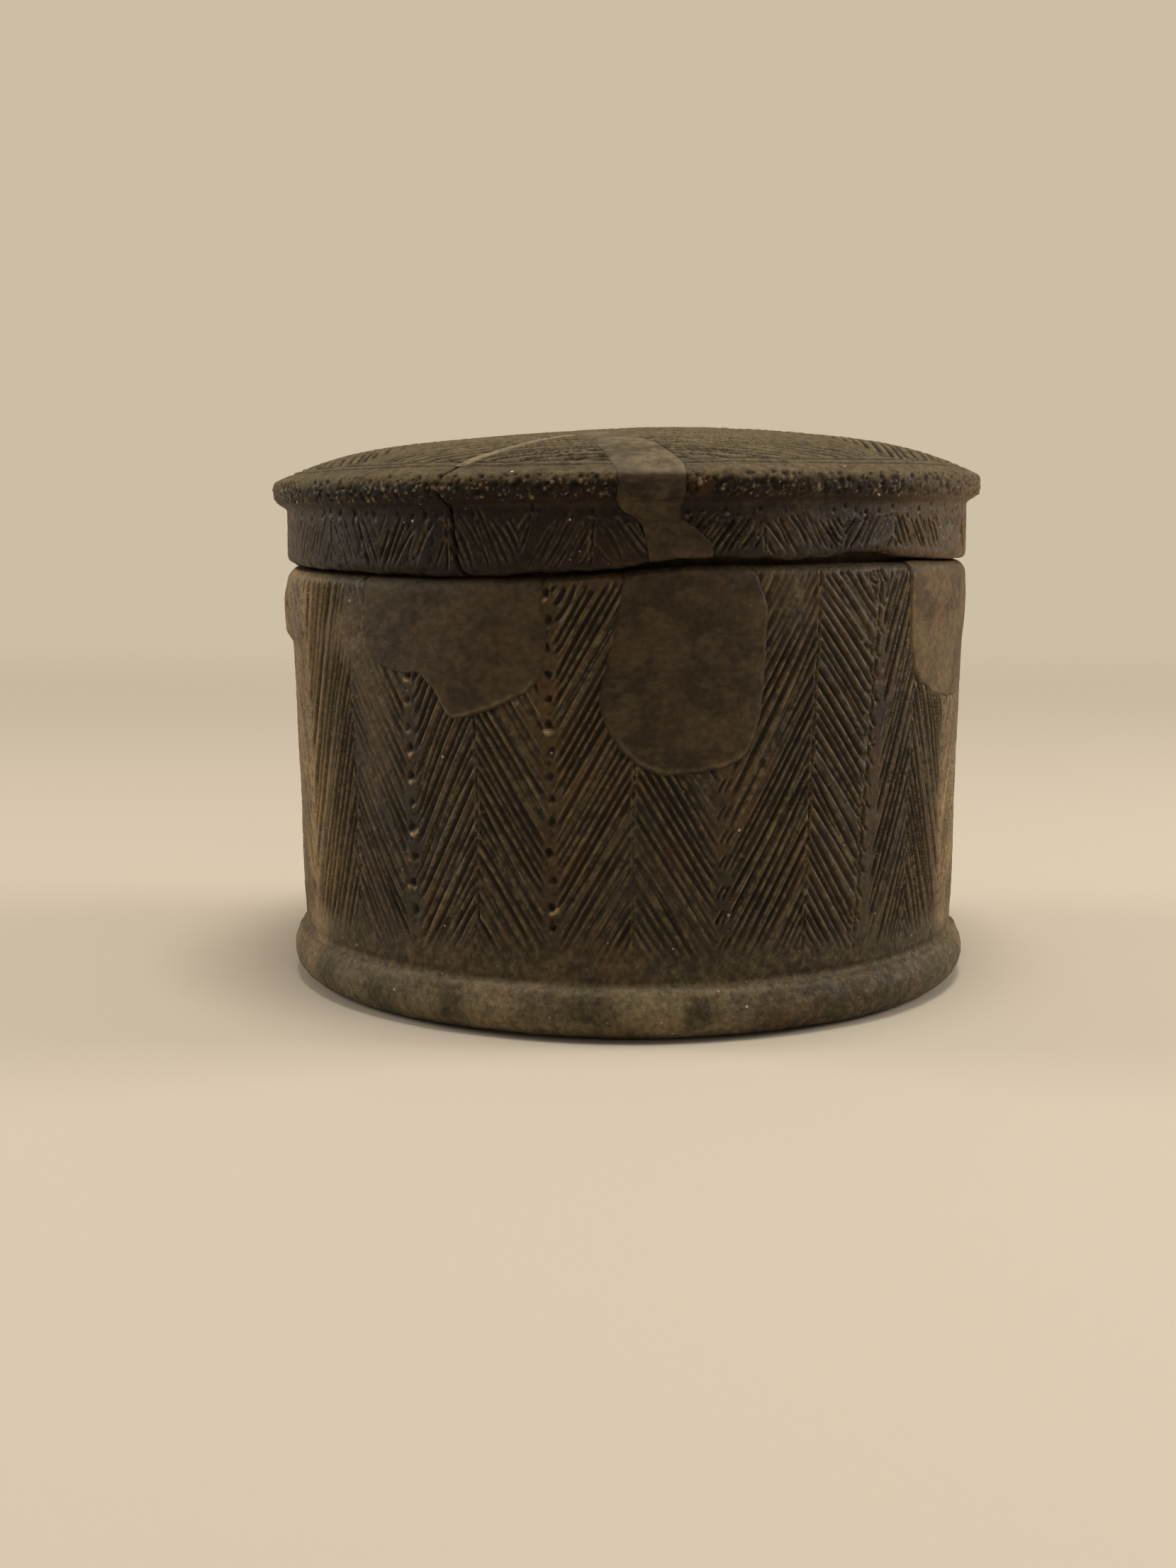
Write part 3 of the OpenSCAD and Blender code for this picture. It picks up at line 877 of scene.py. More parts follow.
class PYXIS_OT_pot(bpy.types.Operator):
    """Builds the fired pot with its flange, incised wall, neck and hollow"""

    bl_idname = "pyxis.pot"
    bl_label = "Fired pot"

    def execute(self, context):
        scene = context.scene
        profile = pot_profile(scene.pyxis_pot)
        ends = profile.ends
        full = RING_COLUMNS
        spans = [
            (ends[0], 1.6, 384), (ends[0] + 1.2, 0.4, full), (ends[1], 0.26, full), (ends[2], 0.23, full),
            (ends[3], 0.3, full), (ends[4], 0.5, full), (ends[5], 0.9, 384), (ends[6], 0.35, 384),
            (ends[7], 1.6, 384), (ends[8], 0.9, 384), (ends[9], 1.6, 384),
        ]
        rings = rings_along(profile, spans)
        counts = np.array([count for length, count in rings])
        lengths = np.repeat([length for length, count in rings], counts)
        share = np.concatenate([np.arange(count) / count for count in counts])
        angles = share * 360 - 180
        radius, height, out, up, level = pot_places(profile, lengths, angles)
        bare = turned(angles, radius, height)
        relief, plugs = wall_relief(scene.pyxis_strokes), Plugs()
        outer = (lengths > ends[0]) & (lengths < ends[4])
        cut, worn, raised = (np.zeros(len(bare)) for _ in range(3))
        rise = 0.1 * rough(bare, 6, 3, 71)
        rise[outer], cut[outer], worn[outer], raised[outer] = wall_height(
            angles[outer], level[outer], bare[outer], relief, plugs
        )
        rise *= smooth(radius, 0, 6)
        points = bare + turned(angles, out * rise, up * rise)
        skin = Skin()
        starts = np.r_[0, np.cumsum(counts)]
        skin.add(points)
        numbers = [np.arange(starts[k], starts[k + 1]) for k in range(len(rings))]
        bottom = skin.add(np.array([[0, 0, 0.35]]))[0]
        floor = skin.add(np.array([[0, 0, 7.0]]))[0]
        plan = bare[:, :2] / 52
        walls = (ends[0], ends[4])
        for k in range(len(rings) - 1):
            (here, n), (there, m) = rings[k], rings[k + 1]
            first, second = numbers[k], numbers[k + 1]
            if here >= walls[0] and there <= walls[1] and n == m:
                for half in (0, 1):
                    part = slice(half * n // 2, half * n // 2 + n // 2)
                    rows = []
                    for ids, length in ((first, here), (second, there)):
                        way = (length - walls[0]) / (walls[1] - walls[0])
                        picked = np.r_[ids, ids[:1]][part.start:part.stop + 1]
                        chart = (0.002, 0.002 + 0.37 * half, 0.998, 0.364 + 0.37 * half)
                        rows.append((picked, strip_spots(chart, way, n // 2 + 1, False)))
                    skin.bridge(rows[0][0], rows[1][0], rows[0][1], rows[1][1], False)
                continue
            rows = []
            for ids, length, count in ((first, here, n), (second, there, m)):
                if length < walls[0] + 1:
                    spots = strip_spots((0.003, 0.745, 0.253, 0.995), 0, count, True, plan[ids])
                elif length > ends[8]:
                    spots = strip_spots((0.26, 0.745, 0.51, 0.995), 0, count, True, plan[ids])
                else:
                    way = (length - walls[1]) / (ends[8] - walls[1])
                    spots = strip_spots((0.52, 0.745, 0.995, 0.995), np.clip(way, 0, 1), count, True)
                rows.append(spots)
            skin.bridge(first, second, rows[0], rows[1], True)
        skin.fan(numbers[0], bottom, strip_spots((0.003, 0.745, 0.253, 0.995), 0, 0, True, plan[numbers[0]]),
                 np.array([0.128, 0.87]))
        skin.fan(numbers[-1], floor, strip_spots((0.26, 0.745, 0.51, 0.995), 0, 0, True, plan[numbers[-1]]),
                 np.array([0.385, 0.87]))
        points = np.concatenate(skin.points)
        cut, worn, raised, angles, level, bare = (
            np.concatenate([values, values[-2:] * 0]) for values in (cut, worn, raised, angles, level, bare)
        )
        marks = clay_marks(angles, level, bare, cut, worn, raised)
        build(skin, settle(points), "pot_body", pot_material(scene), "pot", ["pot"], marks)
        return {"FINISHED"}


def clay_marks(angles, level, points, cut, worn, raised):
    """Where the clay is cut, raised, thrown up in lips, rubbed, tan, grey, dusty or gritty, from 0 to 1."""
    tan = smooth(angles, 60, 68) * (1 - smooth(angles, 105, 125)) * bell(level, 30, 26)
    tan += 0.95 * (1 - smooth(angles, -70, -46)) * smooth(angles, -140, -110) * (level < 66)
    grey = (1 - smooth(level + 4 * noise(points, 8, 91), 10, 20)) * smooth(noise(points, 6, 93), -0.6, 0.3)
    streaks = 0.6 + 0.4 * rough(points * [1, 1, 4], 3, 3, 95)
    front = 0.6 + 0.9 * bell(angles, -3, 24) - 0.85 * bell(angles, 40, 22)
    dust = bell(level, 6.9, 1.0) * streaks * np.clip(0.4 + 0.6 * front, 0.1, 1)
    dust += bell(level, 3, 4) * smooth(noise(points, 5, 99), -0.8, 0.3) * np.clip(front, 0, 1.3)
    return {
        # The cut mark also sets where the grooves are painted dark, partly as painted shade.
        "cut": np.clip(cut / 0.42, 0, 1),
        # The ridge mark sets where the ridges are painted pale, partly as a painted highlight, and where they
        # shine.
        "ridge": np.clip(raised / 0.11, 0, 1),
        # The lip mark sets where the lips thrown up below the stabs get a painted highlight.
        "lip": np.clip((raised - 0.13) / 0.12, 0, 1) * (level > 9),
        "rubbed_and_highlight": worn,
        "tan": np.clip(tan * (0.75 + 0.4 * noise(points, 5, 97)), 0, 1),
        "grey": np.clip(grey * 0.9, 0, 1),
        "dust": np.clip(dust, 0, 1),
        "grit": np.clip(0.05 + 0.25 * worn + 0.3 * (level < 9), 0, 1),
    }


class PYXIS_OT_plugs(bpy.types.Operator):
    """Builds the three plaster plugs in the wall"""

    bl_idname = "pyxis.plugs"
    bl_label = "Wall plugs"

    def execute(self, context):
        scene = context.scene
        profile = pot_profile(scene.pyxis_pot)
        plugs = Plugs()
        proud = in_mm(scene.pyxis_plaster.proud)
        zero = wall_level(profile)
        top = profile.ends[4] - zero - 1.0
        names = (("plug_left", "fill_left", "pot_plaster"), ("plug_front", "fill_front", "pot_plaster"),
                 ("plug_right", "fill_right", "side_plaster"))
        for which, (name, node, slot) in enumerate(names):
            outline = plugs.outlines[which].copy()
            outline[:, 1] = np.minimum(outline[:, 1], top)
            low, high = outline.min(0), (outline[:, 0].max(), top)
            centre = (low + high) / 2
            spokes, rows = 320 // COARSE, 72 // COARSE
            turns = np.linspace(0, 2 * math.pi, spokes, endpoint=False)
            reach = spoke_reach(outline, centre, turns) + 0.12
            ways = np.linspace(0, 1, rows + 1)[1:] ** 0.8
            edge = centre + np.stack([np.cos(turns), np.sin(turns)], 1) * reach[:, None]
            grid = centre + ways[:, None, None] * (edge - centre)
            flat = grid.reshape(-1, 2)
            angles = np.degrees(flat[:, 0] / WALL_R)
            away = (1 - np.repeat(ways, spokes)) * np.tile(reach, rows)
            radius, height, out, up, _ = pot_places(profile, flat[:, 1] + zero, angles)
            bare = turned(angles, radius, height)
            rise = 0.16 * noise(bare, 17, 1) + proud + 0.09 * noise(bare, 7, 101 + which)
            rise += 0.05 * rough(bare, 1.6, 2, 105) - 0.3 * np.exp(-(away / 0.3) ** 2)
            outer = bare + turned(angles, out * rise, up * rise)
            # The inner face lies on the hollow, below the neck.
            inner_r = in_mm(scene.pyxis_pot.cavity_radius) - 0.1
            inner_z = np.minimum(flat[:, 1], in_mm(scene.pyxis_pot.shoulder_height) - 1.7)
            inner_r = inner_r - 0.08 * noise(bare, 4, 107) + 0.3 * np.exp(-(away / 0.4) ** 2)
            inner = turned(angles, inner_r, inner_z)
            skin = Skin()
            face = skin.add(outer).reshape(rows, spokes)
            back = skin.add(inner).reshape(rows, spokes)
            hubs = skin.add(np.array([outer[:spokes].mean(0), inner[:spokes].mean(0)]))
            shape = (grid - centre) / (np.abs(edge - centre).max(0) * 1.02)
            front_chart, back_chart = (0.01, 0.3, 0.69, 0.98), (0.71, 0.3, 0.99, 0.98)
            for numbers, chart, hub in ((face, front_chart, hubs[0]), (back, back_chart, hubs[1])):
                spots = [strip_spots(chart, 0, spokes, True, shape[row]) for row in range(rows)]
                middle = np.array([(chart[0] + chart[2]) / 2, (chart[1] + chart[3]) / 2])
                for row in range(rows - 1):
                    pair = (row, row + 1) if numbers is face else (row + 1, row)
                    skin.bridge(numbers[pair[0]], numbers[pair[1]], spots[pair[0]], spots[pair[1]], True)
                ring = numbers[0] if numbers is back else numbers[0][::-1]
                spot = spots[0] if numbers is back else spots[0][::-1]
                skin.fan(ring, hub, spot, middle)
            sides = [strip_spots((0.01, 0.02, 0.99, 0.28), way, spokes, True) for way in (0, 1)]
            skin.bridge(face[-1], back[-1], sides[0], sides[1], True)
            points = np.concatenate(skin.points)
            # The edge mark is dirt in the joint all round, and heavier along the lower edge as a painted
            # shadow under the proud lip.
            edge_mark = np.concatenate([np.exp(-(away / 0.5) ** 2), np.exp(-(away / 0.5) ** 2), [0, 0]])
            low_edge = 1 - smooth(points[:, 2], outline[:, 1].min() + 1, outline[:, 1].min() + 8)
            lip = np.r_[bell(away, 0.6, 0.28), away * 0, 0, 0] * low_edge
            marks = {"edge": edge_mark * (0.3 + 0.7 * low_edge), "bare": lip * 0.7}
            main = scene.pyxis_plaster.side_colour if which == 2 else scene.pyxis_plaster.colour
            material = plaster_material(name, tuple(main), linear("#6f5f49"))
            build(skin, settle(points), name, material, "pot", [node], marks)
        return {"FINISHED"}


def spoke_reach(outline, centre, turns):
    """How far spokes from a centre run before they leave an outline."""
    start = outline - centre
    along = np.roll(outline, -1, 0) - outline
    reach = np.zeros(len(turns))
    for k, turn in enumerate(turns):
        way = np.array([math.cos(turn), math.sin(turn)])
        cross = way[0] * along[:, 1] - way[1] * along[:, 0]
        cross = np.where(np.abs(cross) < 1e-9, 1e-9, cross)
        t = (start[:, 0] * along[:, 1] - start[:, 1] * along[:, 0]) / cross
        s = (start[:, 0] * way[1] - start[:, 1] * way[0]) / cross
        found = t[(s >= 0) & (s <= 1) & (t > 0)]
        reach[k] = found.max() if len(found) else 0.5
    return reach


# The lid's break lines, seen from above, in mm: the sherd's tip, the lines along which the crack and the
# fill's left edge run to the rim, the fill's right edge outside and inside, and the two sides of its tail.
# The last two are the radii of the tail's end and of the sherd's tip.
SHERD_TIP = np.array([-7.4, -31.7])
LEFT_BREAK_RIM = np.array([56.6 * math.sin(math.radians(-24.9)), -56.6 * math.cos(math.radians(24.9))])
FILL_LEFT_RIM = np.array([1.1, -64.6])
FILL_RIGHT_RIM = np.array([7.9, -53.6])
FILL_RIGHT_TIP = np.array([-0.9, -31.7])
TAIL_LEFT = np.array([-5.85, -26.9])
TAIL_RIGHT = np.array([-2.85, -26.9])
TAIL_R = 27.4
TIP_R = 32.55


def bearing(first, second, radius):
    """The angle from the front at which the line through two places crosses a circle."""
    step = second - first
    a = step @ step
    b = 2 * first @ step
    c = first @ first - radius ** 2
    t = (-b + np.sqrt(np.maximum(0, b * b - 4 * a * c))) / (2 * a)
    return np.degrees(np.arctan2(first[0] + t * step[0], -(first[1] + t * step[1])))


def waver(radius, seed, size=0.15):
    """The small unevenness of a break, in degrees."""
    places = np.stack([radius, np.full_like(radius, seed), np.zeros_like(radius)], 1)
    sideways = size * (noise(places, 2.6, seed) + 0.6 * noise(places, 0.8, seed + 1))
    return np.degrees(sideways / np.maximum(20, radius))


def break_angles(radius, height, walk, lid):
    """Edges of the lid's pieces at rings, as angles: main piece, joint, sherd, fill and main piece again."""
    rim = smooth(height, 72.5, 76)
    out = np.minimum(radius, 56.6)
    crack = bearing(SHERD_TIP, LEFT_BREAK_RIM, np.maximum(TIP_R, out)) + waver(walk, 5, 0.16)
    swerve = np.interp(
        height,
        (66.9, 67.5, 69.4, 74, 75.6, 77, 78.2, 79.2),
        (0.2, -0.2, -1.2, -1.8, -2.2, -2.5, -1.9, -1.2),
    )
    on_dome = 1.7 * bell(radius, 43, 7) - 1.2 * smooth(radius, 33, 54)
    crack = crack + np.where((radius > 50.5) & (height < 79.2), swerve, on_dome)
    joint = in_mm(lid.joint) / 2
    gap = in_mm(lid.crack) / 2
    half = np.degrees(np.where((radius < 54.0) & (height > 76), joint, gap) / np.maximum(20, radius))
    fill_left = bearing(SHERD_TIP, FILL_LEFT_RIM, np.maximum(TIP_R, out)) + waver(walk, 15)
    fill_left = fill_left * rim + np.interp(height, (66.9, 70, 72.2, 74), (3.5, 3.0, 2.3, 0.2)) * (1 - rim)
    fill_right = np.where(radius < 53.9, bearing(FILL_RIGHT_TIP, FILL_RIGHT_RIM, radius), 8.3)
    tail_right = np.interp(radius, (26.9, 31.72), (degrees_of(TAIL_RIGHT), degrees_of(FILL_RIGHT_TIP)))
    fill_right = np.where(radius < 31.75, tail_right, fill_right) + waver(walk, 25)
    patch_right = np.interp(height, (66.9, 69, 71.3, 72.6, 74.5), (12.8, 12.4, 10.2, 8.0, 7.4))
    fill_right = fill_right * rim + patch_right * (1 - rim)
    tail_left = np.interp(radius, (26.9, 32.55), (degrees_of(TAIL_LEFT), degrees_of(SHERD_TIP)))
    closing = smooth(radius, 32.0, 33.6)
    left = (crack - half) * closing + tail_left * (1 - closing)
    return left, crack - half, crack + half, np.where(radius < 32.7, tail_left, fill_left), fill_right


def degrees_of(place):
    """The angle from the front at which a place lies, seen from above."""
    return math.degrees(math.atan2(place[0], -place[1]))


def lid_outer(lid):
    """The outside of the lid: from under the skirt, up and over the rim to the middle of the dome."""
    skirt, foot = in_mm(lid.skirt_radius), in_mm(lid.skirt_height)
    rim_r, rim_z, dome = in_mm(lid.rim_radius) - 0.12, in_mm(lid.rim_height), in_mm(lid.dome_height)
    centre = (rim_r - 2.4, rim_z)
    side = (30.44 - 0.12, 25.16)
    side_r = math.hypot(38 - side[0], 84.38 - side[1])
    # The rim's upper edge is tighter than its foot: a corner of 0.7 mm between its face and the slope of
    # the dome.
    edge = (rim_r - 0.73, rim_z + 1.13)
    return Profile([
        line((skirt - 1.8, foot), (skirt - 0.9, foot)),
        arc((skirt - 0.9, foot + 0.9), 0.9, -90, 0, 12),
        line((skirt, foot + 0.9), (skirt, rim_z - 2.6)),
        np.concatenate([
            arc(centre, 2.4, -70, 0), arc(edge, 0.7, 0, 65.5, 12), arc(side, side_r, 65.5, 66, 2),
        ]),
        arc(side, side_r, 66, 82.72),
        arc((0, dome - 300), 300, 82.72, 90)[1:],
    ])


def lid_inner(lid):
    """The inside of the lid: from under the skirt, up and over to the middle of the ceiling."""
    inner, foot = in_mm(lid.skirt_inner_radius), in_mm(lid.skirt_height)
    return Profile([
        line((inner + 1.8, foot), (inner + 0.6, foot)),
        line((inner, foot + 0.6), (inner, 74.5)),
        line((inner, 74.5), (46.8, 74.5)),
        arc((0, 80.8 - 177), 177, 74.67, 90)[1:],
    ])


def dome_relief(strokes):
    """The marks on the dome, seen from above: four fields of lines and the circles round them."""
    chance = np.random.default_rng(strokes.seed + 1)
    relief = Relief((-58, 58), (-58, 58), 0.15, False)
    period = in_mm(strokes.dome_period)
    for quarter in range(4):
        turn = math.radians(90 * quarter)
        row = 6.0
        while row < 51.3:
            half = min(row * 0.93 - 1.2, math.sqrt(51.8 ** 2 - row ** 2))
            x = -half
            while x < half - 1:
                pull = chance.uniform(12, 55)
                end = min(half, x + pull)
                y = row + chance.normal(0, 0.13)
                y_end = row + chance.normal(0, 0.2)
                ends = [(px * math.cos(turn) + py * math.sin(turn), px * math.sin(turn) - py * math.cos(turn))
                        for px, py in ((x, y), (end, y_end))]
                if chance.uniform() < 0.95:
                    relief.stroke(*ends, chance.uniform(0.7, 1.05), chance.uniform(0.32, 0.52), run_in=0.03,
                                  run_out=0.08, bow=chance.normal(0, 0.14))
                x = end - chance.uniform(-0.4, 0.9)
            row += period * np.clip(chance.normal(1, 0.12), 0.7, 1.4)
        for first, second in ((6.2, 20.2), (20.2, 34.2), (34.2, 50.2)):
            diagonal = turn + math.radians(43)
            way = np.array([math.sin(diagonal), -math.cos(diagonal)])
            relief.stroke(first * way, second * way, 0.8, 0.34, run_in=0.03, run_out=0.05)
    for radius, depth in ((52.3, 0.42), (53.6, 0.24)):
        places = np.radians(np.linspace(0, 360, 61))
        wobble = radius + chance.normal(0, 0.1, 61)
        wobble[-1] = wobble[0]
        ring = np.stack([wobble * np.sin(places), -wobble * np.cos(places)], 1)
        for k in range(60):
            strength = depth * chance.uniform(0.5, 1.1)
            relief.stroke(ring[k], ring[k + 1], 0.85, strength, run_in=0.02, run_out=0.03)
    scatter_pits(relief, chance, 420, (-54, 54), (-54, 54), (0.15, 0.6), 0.26)
    scatter_pits(relief, chance, 250, (-54, 54), (-54, 54), (0.15, 0.45), -0.14)
    return relief


def skirt_relief(strokes):
    """The marks on skirt and rim: chevrons, a row of dabs under the rim, and the rim's grit and pits."""
    chance = np.random.default_rng(strokes.seed + 2)
    half = math.pi * SKIRT_R
    relief = Relief((-half, half), (65, 86), 0.14, True)
    across = math.radians(1) * SKIRT_R
    count = len(SKIRT_SPINES)
    for k in range(count):
        spine = SKIRT_SPINES[k] * across
        before = SKIRT_MEETS[k - 1] * across - (2 * half if k == 0 else 0)
        after = SKIRT_MEETS[k] * across
        for side, meet in ((-1, before), (1, after)):
            reach = abs(meet - spine)
            x = 0.5
            while x < reach + 3:
                lean = math.radians(chance.normal(34, 3.5))
                high = 72.6 + chance.normal(0, 0.45)
                run = (high - 67.2) * math.tan(lean) * chance.uniform(0.7, 1)
                start, end = x - run * 0.55, x + run * 0.45
                late = max(0, -start) / max(run, 0.01)
                early = max(0, end - reach) / max(run, 0.01)
                if late + early < 0.8 and chance.uniform() < 0.88:
                    fall = (high - 67.2) * run / max(0.01, (high - 67.2) * math.tan(lean))
                    relief.stroke(
                        (spine + side * (start + run * late), high - fall * late),
                        (spine + side * (end - run * early), high - fall * (1 - early)),
                        chance.uniform(0.5, 0.8), chance.uniform(0.2, 0.42) * (0.8 if spine < 0 else 1.15),
                        run_in=0.08, run_out=0.25, bow=chance.normal(0, 0.15),
                    )
                x += chance.uniform(0.95, 1.5)
        relief.stroke((spine, 73), (spine + chance.normal(0, 0.3), 67.6), 0.6, 0.3)
    x = -half
    while x < half:
        relief.wedge(x, 73.7 + chance.normal(0, 0.3), chance.uniform(0.6, 1.1), chance.uniform(0.9, 1.7),
                     chance.uniform(0.2, 0.5), chance.normal(0, 0.3))
        x += chance.uniform(1.9, 5.2)
    scatter_pits(relief, chance, 2300, (-half, half), (76.4, 80), (0.12, 0.62), 0.36)
    scatter_pits(relief, chance, 1500, (-half, half), (76.3, 79.2), (0.1, 0.3), -0.3)
    scatter_pits(relief, chance, 900, (-half, half), (66.5, 74), (0.15, 0.6), 0.26)
    return relief


def lid_surface(angles, walk, height, bare, reliefs):
    """Height of the lid's hand-made surface over the turned form, in mm, and its marks for the clay."""
    skirt, dome = reliefs
    x = (np.radians(angles) * SKIRT_R + math.pi * SKIRT_R) % (2 * math.pi * SKIRT_R) - math.pi * SKIRT_R
    side_cut, side_raised = skirt.read(x, walk)
    dome_cut, dome_raised = dome.read(bare[:, 0], bare[:, 1])
    top = smooth(height, 78.9, 79.3)
    cut = side_cut * (1 - top) + dome_cut * top
    raised = side_raised * (1 - top) + dome_raised * top
    worn = np.clip(smooth(rough(bare, 12, 3, 61), 0.05, 0.6) * 0.6, 0, 0.9)
    worn = np.where(height > 79.5, worn, worn * 0.8)
    cut, raised = cut * (1 - worn), raised * (1 - worn)
    rise = 0.14 * noise(bare, 15, 2) + 0.06 * rough(bare, 3, 3, 65) + 0.03 * noise(bare, 0.9, 67)
    rim = smooth(height, 75, 75.8) * (1 - smooth(height, 77.7, 78.5))
    rise += rim * 0.12 * rough(bare, 1.1, 2, 69) - 0.03 * worn
    return rise + raised - cut, cut, worn, rim, raised


def lid_drop(angles, height):
    """How the lid's tip and the waving edge of its skirt change heights, in mm."""
    edge = 1 - smooth(height, 67.2, 73.5)
    chips = 0.22 * rough(turned(angles, 54, 0 * angles), 2.4, 2, 73) * (1 - smooth(height, 67, 68.6))
    return tip(angles) * (1 - edge) + wave(angles, SKIRT_WAVE) * edge + chips


class LidGrid:
    """Rings of one piece of the lid between two edges, outside and inside, joined into a closed solid."""

    def __init__(self, scene, reliefs, plaster):
        self.lid = scene.pyxis_lid
        self.reliefs = reliefs
        self.plaster = plaster
        self.skin = Skin()
        self.profiles = (lid_outer(self.lid), lid_inner(self.lid))
        self.zero = self.profiles[0].ends[1] - (in_mm(self.lid.skirt_height) + 0.9)
        self.bits = []

    def grid(self, which, lengths, columns, span):
        """Adds a grid of vertices: rings at lengths, each with columns between the two angles of span."""
        profile = self.profiles[which]
        radius, height, out, up = profile.place(lengths)
        walk = lengths - self.zero
        first, last = span(radius, height, walk)
        share = np.linspace(0, 1, columns)
        angles = first[:, None] + (last - first)[:, None] * share
        flat = [np.repeat(values, columns) for values in (radius, height, out, up, walk)]
        radius, height, out, up, walk = flat
        angles = angles.ravel()
        drop = lid_drop(angles, height)
        bare = turned(angles, radius, height)
        if which == 0:
            rise, cut, worn, rim, raised = lid_surface(angles, walk, height, bare, self.reliefs)
            if self.plaster is not None:
                rise, cut, raised = self.plaster(bare), cut * 0, raised * 0
        else:
            cut, worn, rim, raised = (np.zeros(len(bare)) for _ in range(4))
            rise = np.minimum(0.08 * rough(bare, 6, 3, 75), 0.05)
            out, up = -out, -up
        # Broken edges are rounded a little, so that each joint shows as a fine line.
        if which == 0:
            width = np.radians(np.repeat(last - first, columns)) * radius
            side = np.tile(np.minimum(share, 1 - share), len(lengths)) * width
            rise = rise - 0.1 * np.exp(-(side / 0.25) ** 2)
        points = bare + turned(angles, out * rise, up * rise)
        points[:, 2] += drop
        numbers = self.skin.add(points).reshape(len(lengths), columns)
        self.bits.append((angles, walk, bare, cut, worn, rim, raised))
        return numbers

    def marks(self, dusty):
        """The clay's marks at every vertex of the piece."""
        angles, walk, bare, cut, worn, rim, raised = (np.concatenate(part) for part in zip(*self.bits))
        top = smooth(bare[:, 2] + 0.25 * noise(bare, 2.2, 85), 77.5, 78.4)
        angles = (angles + 180) % 360 - 180
        away = np.abs(angles) + 20 * (angles > 0)
        front = 1 - smooth(away, 45, 80)
        skirt = (1 - top) * (1 - smooth(bare[:, 2], 74, 76))
        # The rim's face at the front and the skirt under the rim's overhang are painted darker: painted
        # shade.
        dark = rim * front + 0.95 * skirt * bell(angles, -33, 20) + 0.5 * skirt * bell(angles, 5, 22)
        sides = smooth(away, 55, 85) * (1 - 0.7 * smooth(away, 115, 155)) * (1 - 0.55 * (angles < 0))
        crowd = 0.45 + 0.55 * smooth(angles, -29, -24) * (1 - smooth(angles, 6, 12))
        return {
            # The cut mark also sets where the grooves are painted dark, partly as painted shade.
            "cut": np.clip(cut / (0.42 - 0.12 * top), 0, 1),
            # The ridge mark sets where the ridges are painted pale, partly as a painted highlight, and where
            # they shine.
            "ridge": np.clip(raised / 0.11, 0, 1),
            # On the rim the lip mark sets where raised grains get a painted highlight.
            "lip": np.clip((raised - 0.09) / 0.1, 0, 1) * rim,
            # The band along the rim's rounded upper edge is painted paler: painted highlight. The rest of
            # this mark is wear.
            "rubbed_and_highlight": np.clip(worn + 0.9 * bell(bare[:, 2], 78.6, 0.6), 0, 1),
            "tan": np.clip(sides * (0.7 + 0.3 * noise(bare, 6, 83)) * (1 - top), 0, 1),
            "grey": np.clip(dark * 0.9, 0, 1),
            "dust": np.clip(top * (0.78 + 0.22 * rough(bare, 5, 3, 81)) * dusty, 0, 1),
            "grit": np.clip(0.06 + 0.85 * rim * crowd * smooth(70 - away, 0, 30), 0, 1),
            "red": 0.75 * bell(angles, 10.4, 1.3) * bell(bare[:, 2], 77.4, 1.3) * (walk > 74),
        }


def band_spots(chart, rows, columns, row):
    """Places on the bake map for one row of a grid of rows and columns."""
    return strip_spots(chart, row / max(1, rows - 1), columns, False)


def lid_band(scene, name, columns, span, outer, inner, reliefs, plaster, material, node, dusty):
    """Builds a piece of the lid that reaches between two edges, from one ring to another, as a closed
    solid."""
    grid = LidGrid(scene, reliefs, plaster)
    face = grid.grid(0, outer, columns, span)
    back = grid.grid(1, inner, columns, span)
    skin = grid.skin
    for numbers, chart in ((face, (0.01, 0.01, 0.99, 0.62)), (back, (0.01, 0.64, 0.99, 0.88))):
        for row in range(len(numbers) - 1):
            pair = (row, row + 1) if numbers is face else (row + 1, row)
            skin.bridge(numbers[pair[0]], numbers[pair[1]], band_spots(chart, len(numbers), columns, pair[0]),
                        band_spots(chart, len(numbers), columns, pair[1]), False)
    low, high = (band_spots((0.01, 0.9, 0.99, 0.92), 2, columns, way) for way in (0, 1))
    skin.bridge(back[0], face[0], low, high, False)
    skin.bridge(face[-1], back[-1], low, high, False)
    skin.zip(back[:, 0], face[:, 0], (0.01, 0.93, 0.98, 0.95))
    skin.zip(face[:, -1], back[:, -1], (0.01, 0.96, 0.98, 0.98))
    points = np.concatenate(skin.points)
    marks = grid.marks(dusty)
    if plaster is not None:
        # The rim and the skirt are toned dark, and the rim's face is painted darker still: painted shade. On
        # the dome the tone is the clay's at the left and pale at the right.
        top = smooth(points[:, 2], 78.4, 79.3)
        pale = smooth(points[:, 0] - np.interp(-points[:, 1], (31, 56), (-6.4, 2.6)), -0.9, 0.9)
        face = smooth(points[:, 2], 74.5, 75.5) * (1 - smooth(points[:, 2], 77.6, 78.4))
        marks = {"edge": face, "bare": top * (0.62 + 0.38 * pale)}
    build(skin, settle(points), name, material, "lid", [node], marks)


def spaced(start, end, spacing):
    """Even steps from start to end."""
    return np.linspace(start, end, max(2, round(abs(end - start) / (spacing * COARSE)) + 1))


def length_at(profile, radius, after):
    """The length along a profile at which it comes in to a radius, beyond a given length."""
    beyond = profile.length > after
    return float(np.interp(-radius, -profile.points[beyond, 0], profile.length[beyond]))


